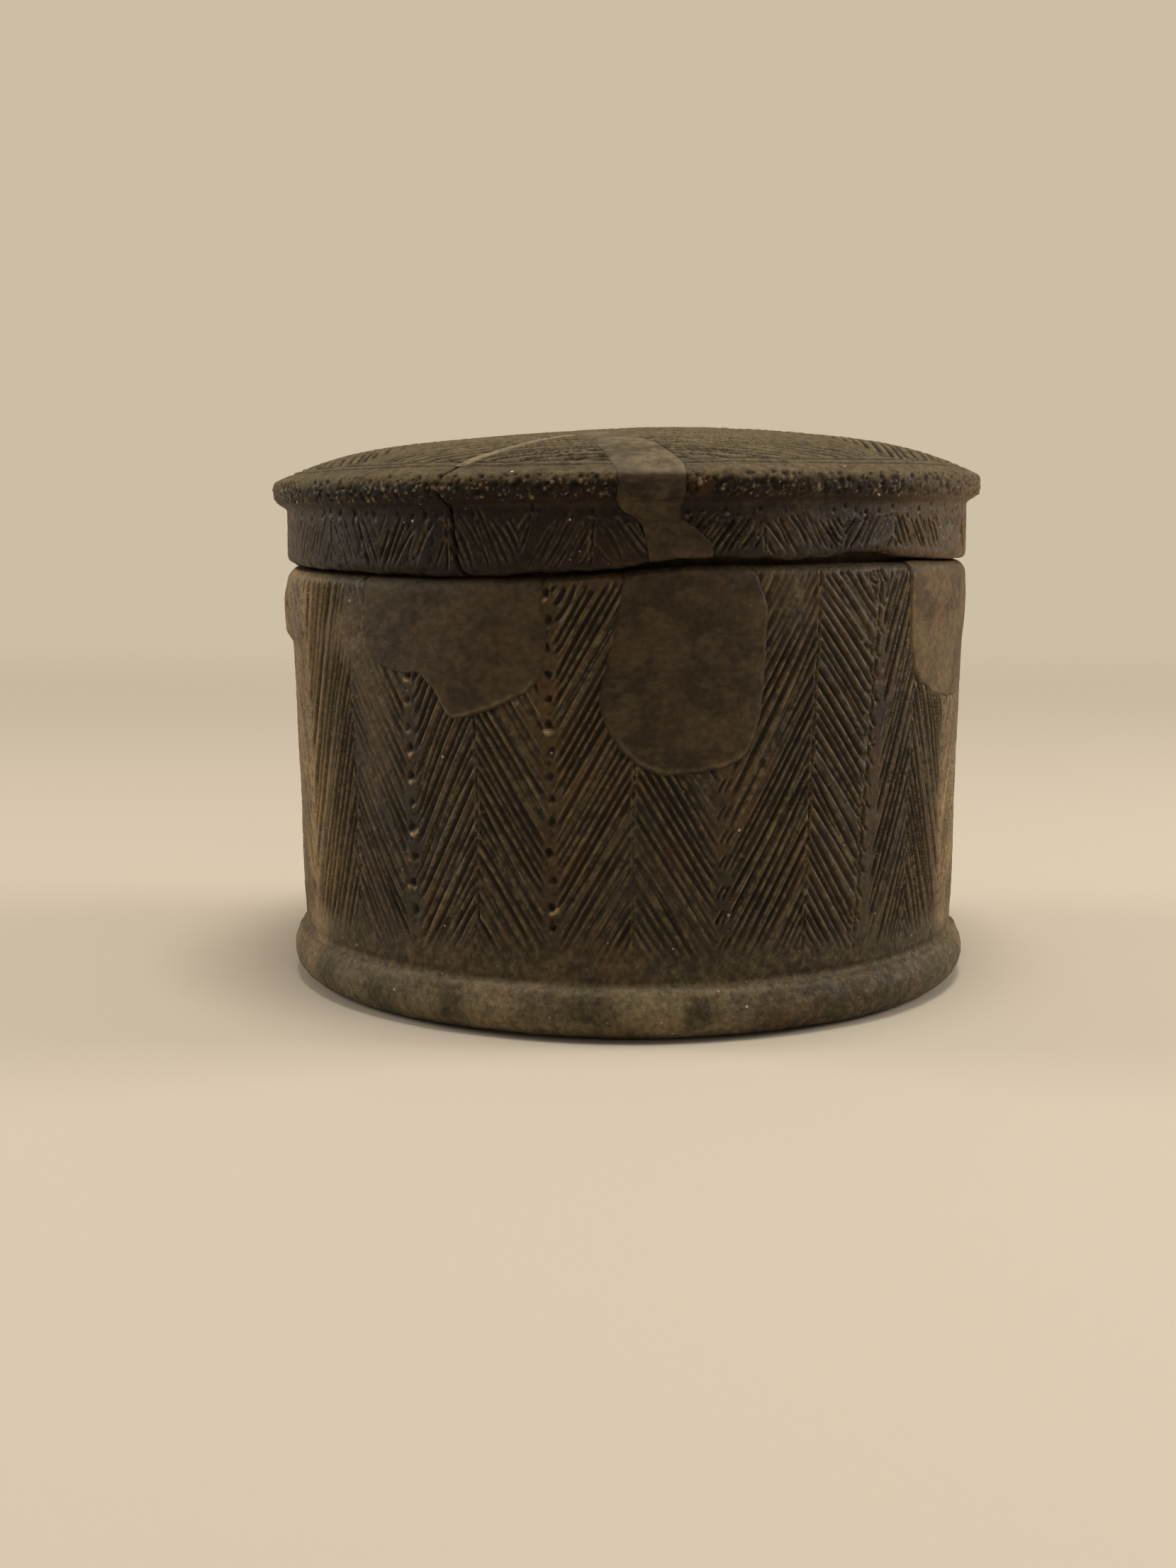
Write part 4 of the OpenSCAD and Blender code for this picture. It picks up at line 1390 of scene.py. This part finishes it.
def lid_lengths(lid, stop_outer, stop_inner):
    """Ring lengths of the lid's outside and inside, from the skirt's foot in to two radii."""
    outer, inner = lid_outer(lid), lid_inner(lid)
    rim = outer.ends[3]
    out = np.concatenate([
        spaced(0.05, outer.ends[1], 0.3)[:-1], spaced(outer.ends[1], outer.ends[2], 0.22)[:-1],
        spaced(outer.ends[2], rim, 0.2)[:-1], spaced(rim, length_at(outer, stop_outer, rim), 0.25),
    ])
    ledge = inner.ends[2]
    back = np.concatenate([
        spaced(0.05, inner.ends[0], 0.6)[:-1], spaced(inner.ends[0], inner.ends[1], 1.2)[:-1],
        spaced(inner.ends[1], ledge, 1.0)[:-1], spaced(ledge, length_at(inner, stop_inner, ledge), 1.2),
    ])
    return out, back


class PYXIS_OT_lid(bpy.types.Operator):
    """Builds the main piece of the fired lid, open where the sherd and the plaster sit"""

    bl_idname = "pyxis.lid"
    bl_label = "Fired lid"

    def execute(self, context):
        scene = context.scene
        lid = scene.pyxis_lid
        reliefs = (skirt_relief(scene.pyxis_strokes), dome_relief(scene.pyxis_strokes))
        outer, inner = lid_lengths(lid, TAIL_R, TAIL_R)
        total, bridge = RING_COLUMNS // COARSE, 32 // COARSE
        columns = total - bridge + 1
        grid = LidGrid(scene, reliefs, None)

        def span(radius, height, walk):
            left, _, _, _, right = break_angles(radius, height, walk, lid)
            return right, left + 360

        skin = grid.skin
        face = grid.grid(0, outer, columns, span)
        back = grid.grid(1, inner, columns, span)
        half = (columns - 1) // 2
        rim_row = int(np.searchsorted(outer, grid.profiles[0].ends[3] + 1.0))
        points = np.concatenate(skin.points)
        dome_chart, ceiling_chart = (0.004, 0.004, 0.624, 0.624), (0.64, 0.01, 0.99, 0.36)

        def plan_spots(ids, chart, closed=False):
            return strip_spots(chart, 0, len(ids), closed, np.concatenate(skin.points)[ids, :2] / PLAN_R)

        for row in range(len(face) - 1):
            first, second = face[row], face[row + 1]
            if row < rim_row:
                for side in (0, 1):
                    part = slice(0, half + 1) if side == 0 else slice(half, columns)
                    chart = (0.003, 0.63 + 0.1 * side, 0.997, 0.725 + 0.1 * side)
                    width = part.stop - part.start
                    skin.bridge(first[part], second[part], band_spots(chart, rim_row + 1, width, row),
                                band_spots(chart, rim_row + 1, width, row + 1), False)
            else:
                spots = [
                    strip_spots(dome_chart, 0, columns, False, points[ids, :2] / PLAN_R)
                    for ids in (first, second)
                ]
                skin.bridge(first, second, spots[0], spots[1], False)
        for row in range(len(back) - 1):
            first, second = back[row + 1], back[row]
            if row < 10:
                chart = (0.003, 0.84, 0.997, 0.94)
                spots = [band_spots(chart, 12, columns, row + 1), band_spots(chart, 12, columns, row)]
            else:
                spots = [
                    strip_spots(ceiling_chart, 0, columns, False, points[ids, :2] / PLAN_R)
                    for ids in (first, second)
                ]
            skin.bridge(first, second, spots[0], spots[1], False)
        seam = [band_spots((0.003, 0.945, 0.997, 0.955), 2, columns, way) for way in (0, 1)]
        skin.bridge(back[0], face[0], seam[0], seam[1], False)
        skin.zip(back[:, 0], face[:, 0], (0.01, 0.96, 0.98, 0.97))
        skin.zip(face[:, -1], back[:, -1], (0.01, 0.975, 0.98, 0.985))

        # Inside the fill's tail the rings close: a short bridge of columns joins the two edges.
        def bridge_span(radius, height, walk):
            left, _, _, _, right = break_angles(radius, height, walk, lid)
            return left + 360, right + 360

        closed = []
        for which, lengths, numbers in ((0, outer, face), (1, inner, back)):
            link = grid.grid(which, lengths[-1:], bridge + 1, bridge_span)[0][1:-1]
            closed.append(np.r_[numbers[-1], link])
        gap = [np.r_[ids[columns - 1:], ids[:1]] for ids in closed]
        spots = [band_spots((0.3, 0.99, 0.6, 0.998), 2, bridge + 1, way) for way in (0, 1)]
        skin.bridge(gap[0], gap[1], spots[0], spots[1], False)
        for which, ring in ((0, closed[0]), (1, closed[1])):
            profile = grid.profiles[which]
            start = (outer, inner)[which][-1]
            chart = (dome_chart, ceiling_chart)[which]
            spacing = (0.26, 1.3)[which]
            lengths = spaced(start, profile.length[-1] - 0.8, spacing)[1:]
            previous = ring
            for length in lengths:
                radius = float(np.interp(length, profile.length, profile.points[:, 0]))
                count = total
                for limit, part in ((22, 2), (11, 4), (5.5, 8), (2.8, 16)):
                    if radius < limit:
                        count = total // part
                if which == 1:
                    count = min(count, total // 4 if len(previous) <= total // 2 else total // 2)
                if count < len(previous) // 2:
                    count = len(previous) // 2
                turn = grid.grid(which, np.array([length]), count + 1, self.closing(lid))[0][:-1]
                rows = [(previous, plan_spots(previous, chart, True)), (turn, plan_spots(turn, chart, True))]
                if which == 1:
                    rows = rows[::-1]
                skin.bridge(rows[0][0], rows[1][0], rows[0][1], rows[1][1], True)
                previous = turn
            hub = grid.grid(which, profile.length[-1:] - 1e-4, 2, lambda r, h, w: (r * 0, r * 0 + 1))[0][:1]
            middle = np.array([(chart[0] + chart[2]) / 2, (chart[1] + chart[3]) / 2])
            spots = plan_spots(previous, chart, True)
            if which == 0:
                skin.fan(previous, hub[0], spots, middle)
            else:
                skin.fan(previous[::-1], hub[0], spots[::-1], middle)
        points = np.concatenate(skin.points)
        material = clay_lid_material(scene, "lid_clay_main")
        build(skin, settle(points), "lid_main", material, "lid", ["lid"], grid.marks(1.0))
        return {"FINISHED"}

    @staticmethod
    def closing(lid):
        """Full turns that start where the open rings started."""
        def span(radius, height, walk):
            start = break_angles(np.array([TAIL_R]), np.array([84.9]), walk, lid)[4]
            return start, start + 360
        return span


class PYXIS_OT_sherd(bpy.types.Operator):
    """Builds the broken-out piece of the lid that is set back between the crack and the plaster"""

    bl_idname = "pyxis.sherd"
    bl_label = "Lid sherd"

    def execute(self, context):
        scene = context.scene
        lid = scene.pyxis_lid
        reliefs = (skirt_relief(scene.pyxis_strokes), dome_relief(scene.pyxis_strokes))
        outer, inner = lid_lengths(lid, 33.9, 33.9)

        def span(radius, height, walk):
            _, _, right_of_crack, fill_left, _ = break_angles(radius, height, walk, lid)
            return right_of_crack, np.maximum(fill_left - 0.02, right_of_crack + 0.05)

        lid_band(scene, "lid_sherd_set_back", 136 // COARSE, span, outer, inner, reliefs, None,
                 clay_lid_material(scene, "sherd_clay_main"), "lid_sherd", 0.95)
        return {"FINISHED"}


class PYXIS_OT_lid_plaster(bpy.types.Operator):
    """Builds the wide plaster fill of the lid and the thin joint over its dome"""

    bl_idname = "pyxis.lid_plaster"
    bl_label = "Lid plaster"

    def execute(self, context):
        scene = context.scene
        lid = scene.pyxis_lid
        proud = in_mm(scene.pyxis_plaster.proud)
        reliefs = (skirt_relief(scene.pyxis_strokes), dome_relief(scene.pyxis_strokes))
        outer, inner = lid_lengths(lid, TAIL_R + 0.1, TAIL_R + 0.1)

        def smeared(bare):
            """Height of the smoothed plaster over the turned form."""
            lumps = 0.14 * noise(bare, 15, 2) + proud * 0.6 + 0.1 * noise(bare, 4, 121)
            return lumps + 0.05 * rough(bare, 1.3, 2, 123)

        def fill_span(radius, height, walk):
            _, _, _, fill_left, fill_right = break_angles(radius, height, walk, lid)
            return fill_left + 0.02, fill_right - 0.02

        def joint_span(radius, height, walk):
            _, left, right, _, _ = break_angles(radius, np.maximum(height, 77), walk, lid)
            return left + 0.02, right - 0.02

        toned = plaster_material("lid_fill", linear("#463a28"), linear("#685a44"))
        lid_band(scene, "lid_plaster_fill", 56 // COARSE, fill_span, outer, inner, reliefs, smeared, toned,
                 "lid_fill", 1)
        profile, ceiling = lid_outer(lid), lid_inner(lid)
        rim, wall, ledge = profile.ends[3], ceiling.ends[1], ceiling.ends[2]
        outer = spaced(length_at(profile, 53.8, rim), length_at(profile, 32.9, rim), 0.3)
        inner = spaced(length_at(ceiling, 50.0, wall), length_at(ceiling, 32.9, ledge), 1.2)
        toned = plaster_material("lid_joint", linear("#716249"), linear("#83755c"))
        lid_band(scene, "lid_plaster_joint", 12 // COARSE, joint_span, outer, inner, reliefs, smeared, toned,
                 "lid_joint", 1)
        return {"FINISHED"}


def add_node(tree, kind, inputs=None, **settings):
    """Adds a node, sets its properties, and fills its sockets with values or with other nodes' outputs."""
    node = tree.nodes.new(kind)
    for name, value in settings.items():
        setattr(node, name, value)
    for socket, value in (inputs or {}).items():
        if isinstance(value, bpy.types.NodeSocket):
            tree.links.new(value, node.inputs[socket])
        else:
            node.inputs[socket].default_value = value
    return node


def math_node(tree, operation, first, second, clamp=False):
    """Works out one value from two and returns the result."""
    return add_node(tree, "ShaderNodeMath", {0: first, 1: second}, operation=operation,
                    use_clamp=clamp).outputs[0]


def mixed(tree, factor, first, second, blend="MIX"):
    """Lays one colour over another and returns the result."""
    first, second = (c if isinstance(c, bpy.types.NodeSocket) else (*c, 1) for c in (first, second))
    node = add_node(tree, "ShaderNodeMix", {0: factor, 6: first, 7: second}, data_type="RGBA",
                    blend_type=blend)
    return node.outputs[2]


def fired_clay(name, clay, tones):
    """Low-fired coarse clay, burnished by hand, smoked dark in the fire and dusty from the ground. It
    gives the eye a deep olive brown with rusty and grey clouds, a dull sheen and painted highlights on
    the ridges and lips, grooves darkened partly as painted shade, and pale grit."""
    material = bpy.data.materials.new(name)
    material.use_nodes = True
    tree = material.node_tree
    tree.nodes.clear()
    place = add_node(tree, "ShaderNodeTexCoord").outputs["Object"]
    tone = {word: linear(code) for word, code in tones.items()}
    marks = {
        mark: add_node(tree, "ShaderNodeAttribute", attribute_name=mark).outputs["Fac"]
        for mark in ("cut", "ridge", "lip", "rubbed_and_highlight", "tan", "grey", "dust", "grit", "red")
    }

    def times(first, second):
        return math_node(tree, "MULTIPLY", first, second)

    def span(value, low, high, bottom, top):
        return add_node(
            tree, "ShaderNodeMapRange", {"Value": value, 1: low, 2: high, 3: bottom, 4: top}
        ).outputs[0]

    def lumps(size, detail=3, roughness=0.6):
        # Size of the lumps in mm: a noise texture's scale counts lumps in a metre.
        return add_node(
            tree, "ShaderNodeTexNoise",
            {"Vector": place, "Scale": 1000 / size, "Detail": detail, "Roughness": roughness},
        ).outputs["Fac"]

    # Smoke clouds are a few centimetres across, rust stains about one, and the earth left on them a few
    # millimetres.
    colour = mixed(tree, span(lumps(21), 0.4, 0.6, 0, 1), clay, tone["smoked"])
    colour = mixed(tree, span(lumps(8, 4), 0.5, 0.68, 0, 0.7), colour, tone["rust"])
    colour = mixed(tree, span(lumps(5.5, 4), 0.5, 0.7, 0, 0.6), colour, tone["grey"])
    colour = mixed(tree, marks["tan"], colour, tone["tan"])
    # The grey mark is a grey deposit at the pot's foot, and painted shade on the lid's rim face and skirt.
    colour = mixed(tree, marks["grey"], colour, tone["grey"])
    colour = mixed(tree, times(marks["dust"], span(lumps(2.4, 4), 0.15, 0.5, 0, 1)), colour, tone["dust"])
    # Worn places are painted paler. On the lid this mark also holds the painted highlight along the rim's
    # upper edge.
    colour = mixed(tree, times(marks["rubbed_and_highlight"], span(lumps(1.4), 0.42, 0.75, 0, 0.5)), colour, tone["rubbed_and_highlight"])
    colour = mixed(tree, marks["red"], colour, tone["red"])
    # Burnishing leaves the clay lighter and darker from one tool mark to the next, about half a millimetre
    # apart.
    shade = span(lumps(0.8, 3, 0.7), 0.25, 0.75, 0.45, 1.55)
    colour = mixed(tree, 1, colour, shade, "MULTIPLY")
    # Grooves are painted dark, the deeper the darker: partly earth in them, partly painted shade.
    colour = mixed(tree, times(marks["cut"], 0.86), colour, tone["groove"])
    # Ridges and burrs are painted pale in the rubbed tone: partly rubbed clay, partly painted highlight where
    # they catch the light.
    ridge = times(marks["ridge"], span(lumps(1.3), 0.4, 0.62, 0.12, 0.9))
    colour = mixed(tree, ridge, colour, tone["rubbed_and_highlight"])
    # Lips below the stabs, and raised grains on the lid's rim, are painted bright: painted highlight.
    colour = mixed(tree, times(marks["lip"], span(lumps(0.7), 0.42, 0.6, 0.05, 1)), colour, tone["lip"])
    # Grit: grains of up to 0.6 mm in a mesh of 1.3 mm. Few cells hold one on the wall, and most do on the
    # rim's face.
    cells = add_node(tree, "ShaderNodeTexVoronoi", {"Vector": place, "Scale": 1000 / 1.3})
    pick = add_node(tree, "ShaderNodeSeparateColor", {"Color": cells.outputs["Color"]})
    chosen = math_node(tree, "GREATER_THAN", pick.outputs[0], span(marks["grit"], 0, 1, 0.97, 0.35))
    reach = span(pick.outputs[1], 0, 1, 0.03, 0.22)
    grain = math_node(tree, "MULTIPLY", math_node(tree, "SUBTRACT", reach, cells.outputs["Distance"]), 18,
                      clamp=True)
    grit = times(grain, chosen)
    colour = mixed(tree, grit, colour,
                   mixed(tree, span(pick.outputs[2], 0, 0.6, 0.1, 1), tone["dust"], tone["grain"]))
    # Rubbed ridges shine a little, and dust takes the shine away.
    roughness = math_node(tree, "SUBTRACT", span(lumps(1.7), 0.3, 0.7, 0.46, 0.7),
                          times(marks["ridge"], 0.12))
    roughness = math_node(tree, "ADD", roughness, times(marks["dust"], 0.25), clamp=True)
    # The skin of the clay: grains of 0.3 mm and dents of 1.2 mm, in mm of height.
    height = math_node(tree, "ADD", times(lumps(0.35, 2), 0.09), times(lumps(1.2), 0.16))
    height = math_node(tree, "ADD", height, times(grit, 0.14))
    bump = add_node(tree, "ShaderNodeBump", {"Height": height, "Strength": 1.0, "Distance": 0.001})
    # Where the grey mark lies the clay is duller: a grey deposit at the pot's foot, and the painted shade of
    # the lid's rim face and skirt.
    gloss = span(marks["grey"], 0, 1, 0.24, 0.12)
    shader = add_node(
        tree, "ShaderNodeBsdfPrincipled",
        {"Base Color": colour, "Roughness": roughness, "Normal": bump.outputs[0],
         "Specular IOR Level": gloss},
    )
    add_node(tree, "ShaderNodeOutputMaterial", {"Surface": shader.outputs[0]})
    return material


def pot_material(scene):
    """The pot's clay, darkest on the wall, with a tan side where the fire reached it."""
    # The groove tone is partly earth and partly painted shade, the lip tone is a painted highlight, and the
    # rubbed tone is wear and a painted highlight on ridges.
    return fired_clay("fired_clay_pot", tuple(scene.pyxis_pot.clay), {
        "smoked": "#2b2115", "rust": "#543a1e", "tan": "#9c8058", "grey": "#3b3627", "dust": "#766850",
        "groove": "#0e0905", "rubbed_and_highlight": "#7f6e4f", "red": "#5c361c", "grain": "#b5a286", "lip": "#b08c5c",
    })


def clay_lid_material(scene, name):
    """The lid's clay: darker than the pot's at the side, partly as painted shade under the rim, with earth
    and rubbing on the dome, which faces up."""
    # The groove tone is partly earth and partly painted shade, the lip tone is a painted highlight, and the
    # rubbed tone is wear and a painted highlight on ridges and the rim's edge.
    return fired_clay(name, tuple(scene.pyxis_lid.clay), {
        "smoked": "#20170e", "rust": "#402c17", "tan": "#6b5233", "grey": "#221a11", "dust": "#64563b",
        "groove": "#0e0804", "rubbed_and_highlight": "#897757", "red": "#4c2f1b", "grain": "#c6bdae", "lip": "#82776a",
    })


def plaster_material(name, toned, bare):
    """Gypsum plaster, smoothed with a blade and toned with earth paint. It gives the eye a soft, almost
    matt olive brown in blotches, with no grain. The bare tone is left where little paint was put on."""
    material = bpy.data.materials.new(f"toned_plaster_{name}")
    material.use_nodes = True
    tree = material.node_tree
    tree.nodes.clear()
    place = add_node(tree, "ShaderNodeTexCoord").outputs["Object"]
    marks = {
        mark: add_node(tree, "ShaderNodeAttribute", attribute_name=mark).outputs["Fac"]
        for mark in ("edge", "bare")
    }

    def washes(size, low, high, top, shift=0.0):
        # The brush went round the pot, so the washes lie longer across than up.
        moved = add_node(
            tree, "ShaderNodeVectorMath", {0: place, 1: (0.9, 0.9, 1.25), 2: (shift, shift, shift)},
            operation="MULTIPLY_ADD"
        ).outputs[0]
        value = add_node(
            tree, "ShaderNodeTexNoise", {"Vector": moved, "Scale": 1000 / size, "Detail": 4, "Roughness": 0.6}
        )
        return add_node(
            tree, "ShaderNodeMapRange", {"Value": value.outputs["Fac"], 1: low, 2: high, 3: 0, 4: top}
        ).outputs[0]

    colour = mixed(tree, marks["bare"], toned, bare)
    # Washes of toning paint, 3 to 9 mm across: darker, browner, greyer. Brush marks of about 1 mm lie over
    # them.
    darker = mixed(tree, 1, colour, linear("#b0a694"), "MULTIPLY")
    browner = mixed(tree, 1, colour, (1.16, 1.05, 0.88), "MULTIPLY")
    greyer = mixed(tree, 1, colour, (1.08, 1.13, 1.06), "MULTIPLY")
    colour = mixed(tree, washes(9, 0.42, 0.56, 0.75), colour, darker)
    colour = mixed(tree, washes(5, 0.5, 0.62, 0.8, 0.3), colour, browner)
    colour = mixed(tree, washes(3.6, 0.5, 0.6, 0.8, 0.7), colour, greyer)
    shade = add_node(tree, "ShaderNodeMapRange",
                     {"Value": washes(1.1, 0.36, 0.64, 1), 3: 0.72, 4: 1.3}).outputs[0]
    colour = mixed(tree, 1, colour, shade, "MULTIPLY")
    # Darker at the edges: earth in the plugs' joints, a painted shadow under their lower edges, and painted
    # shade on the rim face of the lid's plaster.
    dirt_and_shade = math_node(tree, "MULTIPLY", marks["edge"], washes(2.5, 0.35, 0.6, 0.9))
    colour = mixed(tree, dirt_and_shade, colour, linear("#1c150d"))
    height = math_node(tree, "ADD", washes(0.7, 0, 1, 1), washes(2.2, 0, 1, 2))
    bump = add_node(tree, "ShaderNodeBump", {"Height": height, "Strength": 1.0, "Distance": 0.0001})
    shader = add_node(
        tree, "ShaderNodeBsdfPrincipled", {"Base Color": colour, "Roughness": 0.66, "Normal": bump.outputs[0],
                                           "Specular IOR Level": 0.25}
    )
    add_node(tree, "ShaderNodeOutputMaterial", {"Surface": shader.outputs[0]})
    return material


class PYXIS_OT_stage(bpy.types.Operator):
    """Sets the floor, the soft lamps and the camera"""

    bl_idname = "pyxis.stage"
    bl_label = "Stage"

    def execute(self, context):
        scene = context.scene
        stage = scene.pyxis_stage
        # A floor that curves up into a backdrop far behind, in matt emulsion paint.
        turn = np.linspace(0, math.pi / 2, 25)
        curve = [(1.0 + 0.5 * math.sin(t), 0.5 - 0.5 * math.cos(t)) for t in turn]
        sweep = [(-1.2, 0.0)] + curve + [(1.5, 2.6)]
        points = [(x, y, z) for x in (-3.0, 3.0) for y, z in sweep]
        count = len(sweep)
        faces = [(k, count + k, count + k + 1, k + 1) for k in range(count - 1)]
        mesh = bpy.data.meshes.new("floor")
        mesh.from_pydata(points, [], faces)
        mesh.polygons.foreach_set("use_smooth", [True] * len(faces))
        material = bpy.data.materials.new("matt_emulsion_paint")
        material.use_nodes = True
        tree = material.node_tree
        shader = tree.nodes["Principled BSDF"]
        place = add_node(tree, "ShaderNodeTexCoord").outputs["Object"]
        # Roller marks of about 2 mm, barely there.
        stipple = add_node(tree, "ShaderNodeTexNoise", {"Vector": place, "Scale": 500, "Detail": 2})
        bump = add_node(tree, "ShaderNodeBump",
                        {"Height": stipple.outputs["Fac"], "Strength": 1.0, "Distance": 0.00004})
        tree.links.new(bump.outputs[0], shader.inputs["Normal"])
        shader.inputs["Base Color"].default_value = (*tuple(stage.floor), 1)
        shader.inputs["Roughness"].default_value = 0.85
        # Behind the box the camera sees the backdrop's own colour, and the light on the box stays as it is.
        rays = add_node(tree, "ShaderNodeLightPath").outputs
        seen = math_node(tree, "MAXIMUM", rays["Is Camera Ray"], rays["Is Glossy Ray"])
        seen = math_node(tree, "MAXIMUM", seen, rays["Is Transmission Ray"])
        depth = add_node(tree, "ShaderNodeSeparateXYZ", {0: place}).outputs["Y"]
        behind = add_node(tree, "ShaderNodeMapRange", {"Value": depth, 1: 0.1, 2: 0.8, 3: 0, 4: 1},
                          interpolation_type="SMOOTHSTEP").outputs[0]
        factor = math_node(tree, "MULTIPLY", seen, behind)
        glow = add_node(tree, "ShaderNodeEmission", {"Color": (*tuple(stage.backdrop), 1), "Strength": 1.0})
        surface = add_node(tree, "ShaderNodeMixShader", {0: factor, 1: shader.outputs[0], 2: glow.outputs[0]})
        tree.links.new(surface.outputs[0], tree.nodes["Material Output"].inputs["Surface"])
        mesh.materials.append(material)
        floor = bpy.data.objects.new("floor", mesh)
        scene.collection.objects.link(floor)
        lamps = (
            ("lamp_above", 5.6, 0.35, (0.05, -0.12, 0.95), (0.0, 0.0, 0.05)),
            ("lamp_left", 3.4, 0.35, (-0.85, 0.12, 0.4), (0.0, 0.0, 0.05)),
            ("lamp_right", 4.6, 0.35, (0.85, 0.1, 0.42), (0.0, 0.0, 0.05)),
        )
        for name, watts, size, spot, target in lamps:
            light = bpy.data.lights.new(name, "AREA")
            light.energy = watts
            light.size = size
            light.color = (1.0, 0.95, 0.88)
            lamp = bpy.data.objects.new(name, light)
            scene.collection.objects.link(lamp)
            lamp.location = spot
            aim = np.array(target) - np.array(spot)
            flat = math.hypot(aim[0], aim[1])
            lamp.rotation_euler = (math.atan2(flat, -aim[2]), 0, math.atan2(aim[1], aim[0]) - math.pi / 2)
        world = bpy.data.worlds.new("room")
        world.use_nodes = True
        world.node_tree.nodes["Background"].inputs["Color"].default_value = (1.0, 0.96, 0.9, 1)
        world.node_tree.nodes["Background"].inputs["Strength"].default_value = 0.27
        scene.world = world
        scene.view_settings.view_transform = "Standard"
        data = bpy.data.cameras.new("camera")
        data.sensor_fit = "VERTICAL"
        data.sensor_height = 36
        data.lens = stage.lens
        data.clip_start = 0.01
        camera = bpy.data.objects.new("camera", data)
        scene.collection.objects.link(camera)
        camera.location = (0, -stage.distance, stage.height)
        camera.rotation_euler = (math.radians(90 - 7.92), 0, math.radians(1.2))
        scene.camera = camera
        return {"FINISHED"}


class PYXIS_PT_parts(bpy.types.Panel):
    """Lists the pieces of the clay box and their settings"""

    bl_label = "Clay box"
    bl_space_type = "VIEW_3D"
    bl_region_type = "UI"
    bl_category = "Clay box"

    def draw(self, context):
        layout = self.layout
        for operator in OPERATORS:
            layout.operator(operator.bl_idname)
        for group in GROUPS:
            box = layout.box()
            settings = getattr(context.scene, group)
            for name in settings.bl_rna.properties.keys():
                if name not in ("rna_type", "name"):
                    box.prop(settings, name)


OPERATORS = (PYXIS_OT_pot, PYXIS_OT_plugs, PYXIS_OT_lid, PYXIS_OT_sherd, PYXIS_OT_lid_plaster, PYXIS_OT_stage)
GROUPS = {
    "pyxis_pot": PotSettings, "pyxis_strokes": StrokeSettings, "pyxis_lid": LidSettings,
    "pyxis_plaster": PlasterSettings, "pyxis_stage": StageSettings,
}


def register():
    for group in (*GROUPS.values(), *OPERATORS, PYXIS_PT_parts):
        bpy.utils.register_class(group)
    for name, group in GROUPS.items():
        setattr(bpy.types.Scene, name, bpy.props.PointerProperty(type=group))


def unregister():
    for name in GROUPS:
        delattr(bpy.types.Scene, name)
    for group in reversed((*GROUPS.values(), *OPERATORS, PYXIS_PT_parts)):
        bpy.utils.unregister_class(group)


def main():
    register()
    bpy.ops.pyxis.pot()
    bpy.ops.pyxis.plugs()
    bpy.ops.pyxis.lid()
    bpy.ops.pyxis.sherd()
    bpy.ops.pyxis.lid_plaster()
    bpy.ops.pyxis.stage()
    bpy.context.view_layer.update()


if __name__ == "__main__":
    main()
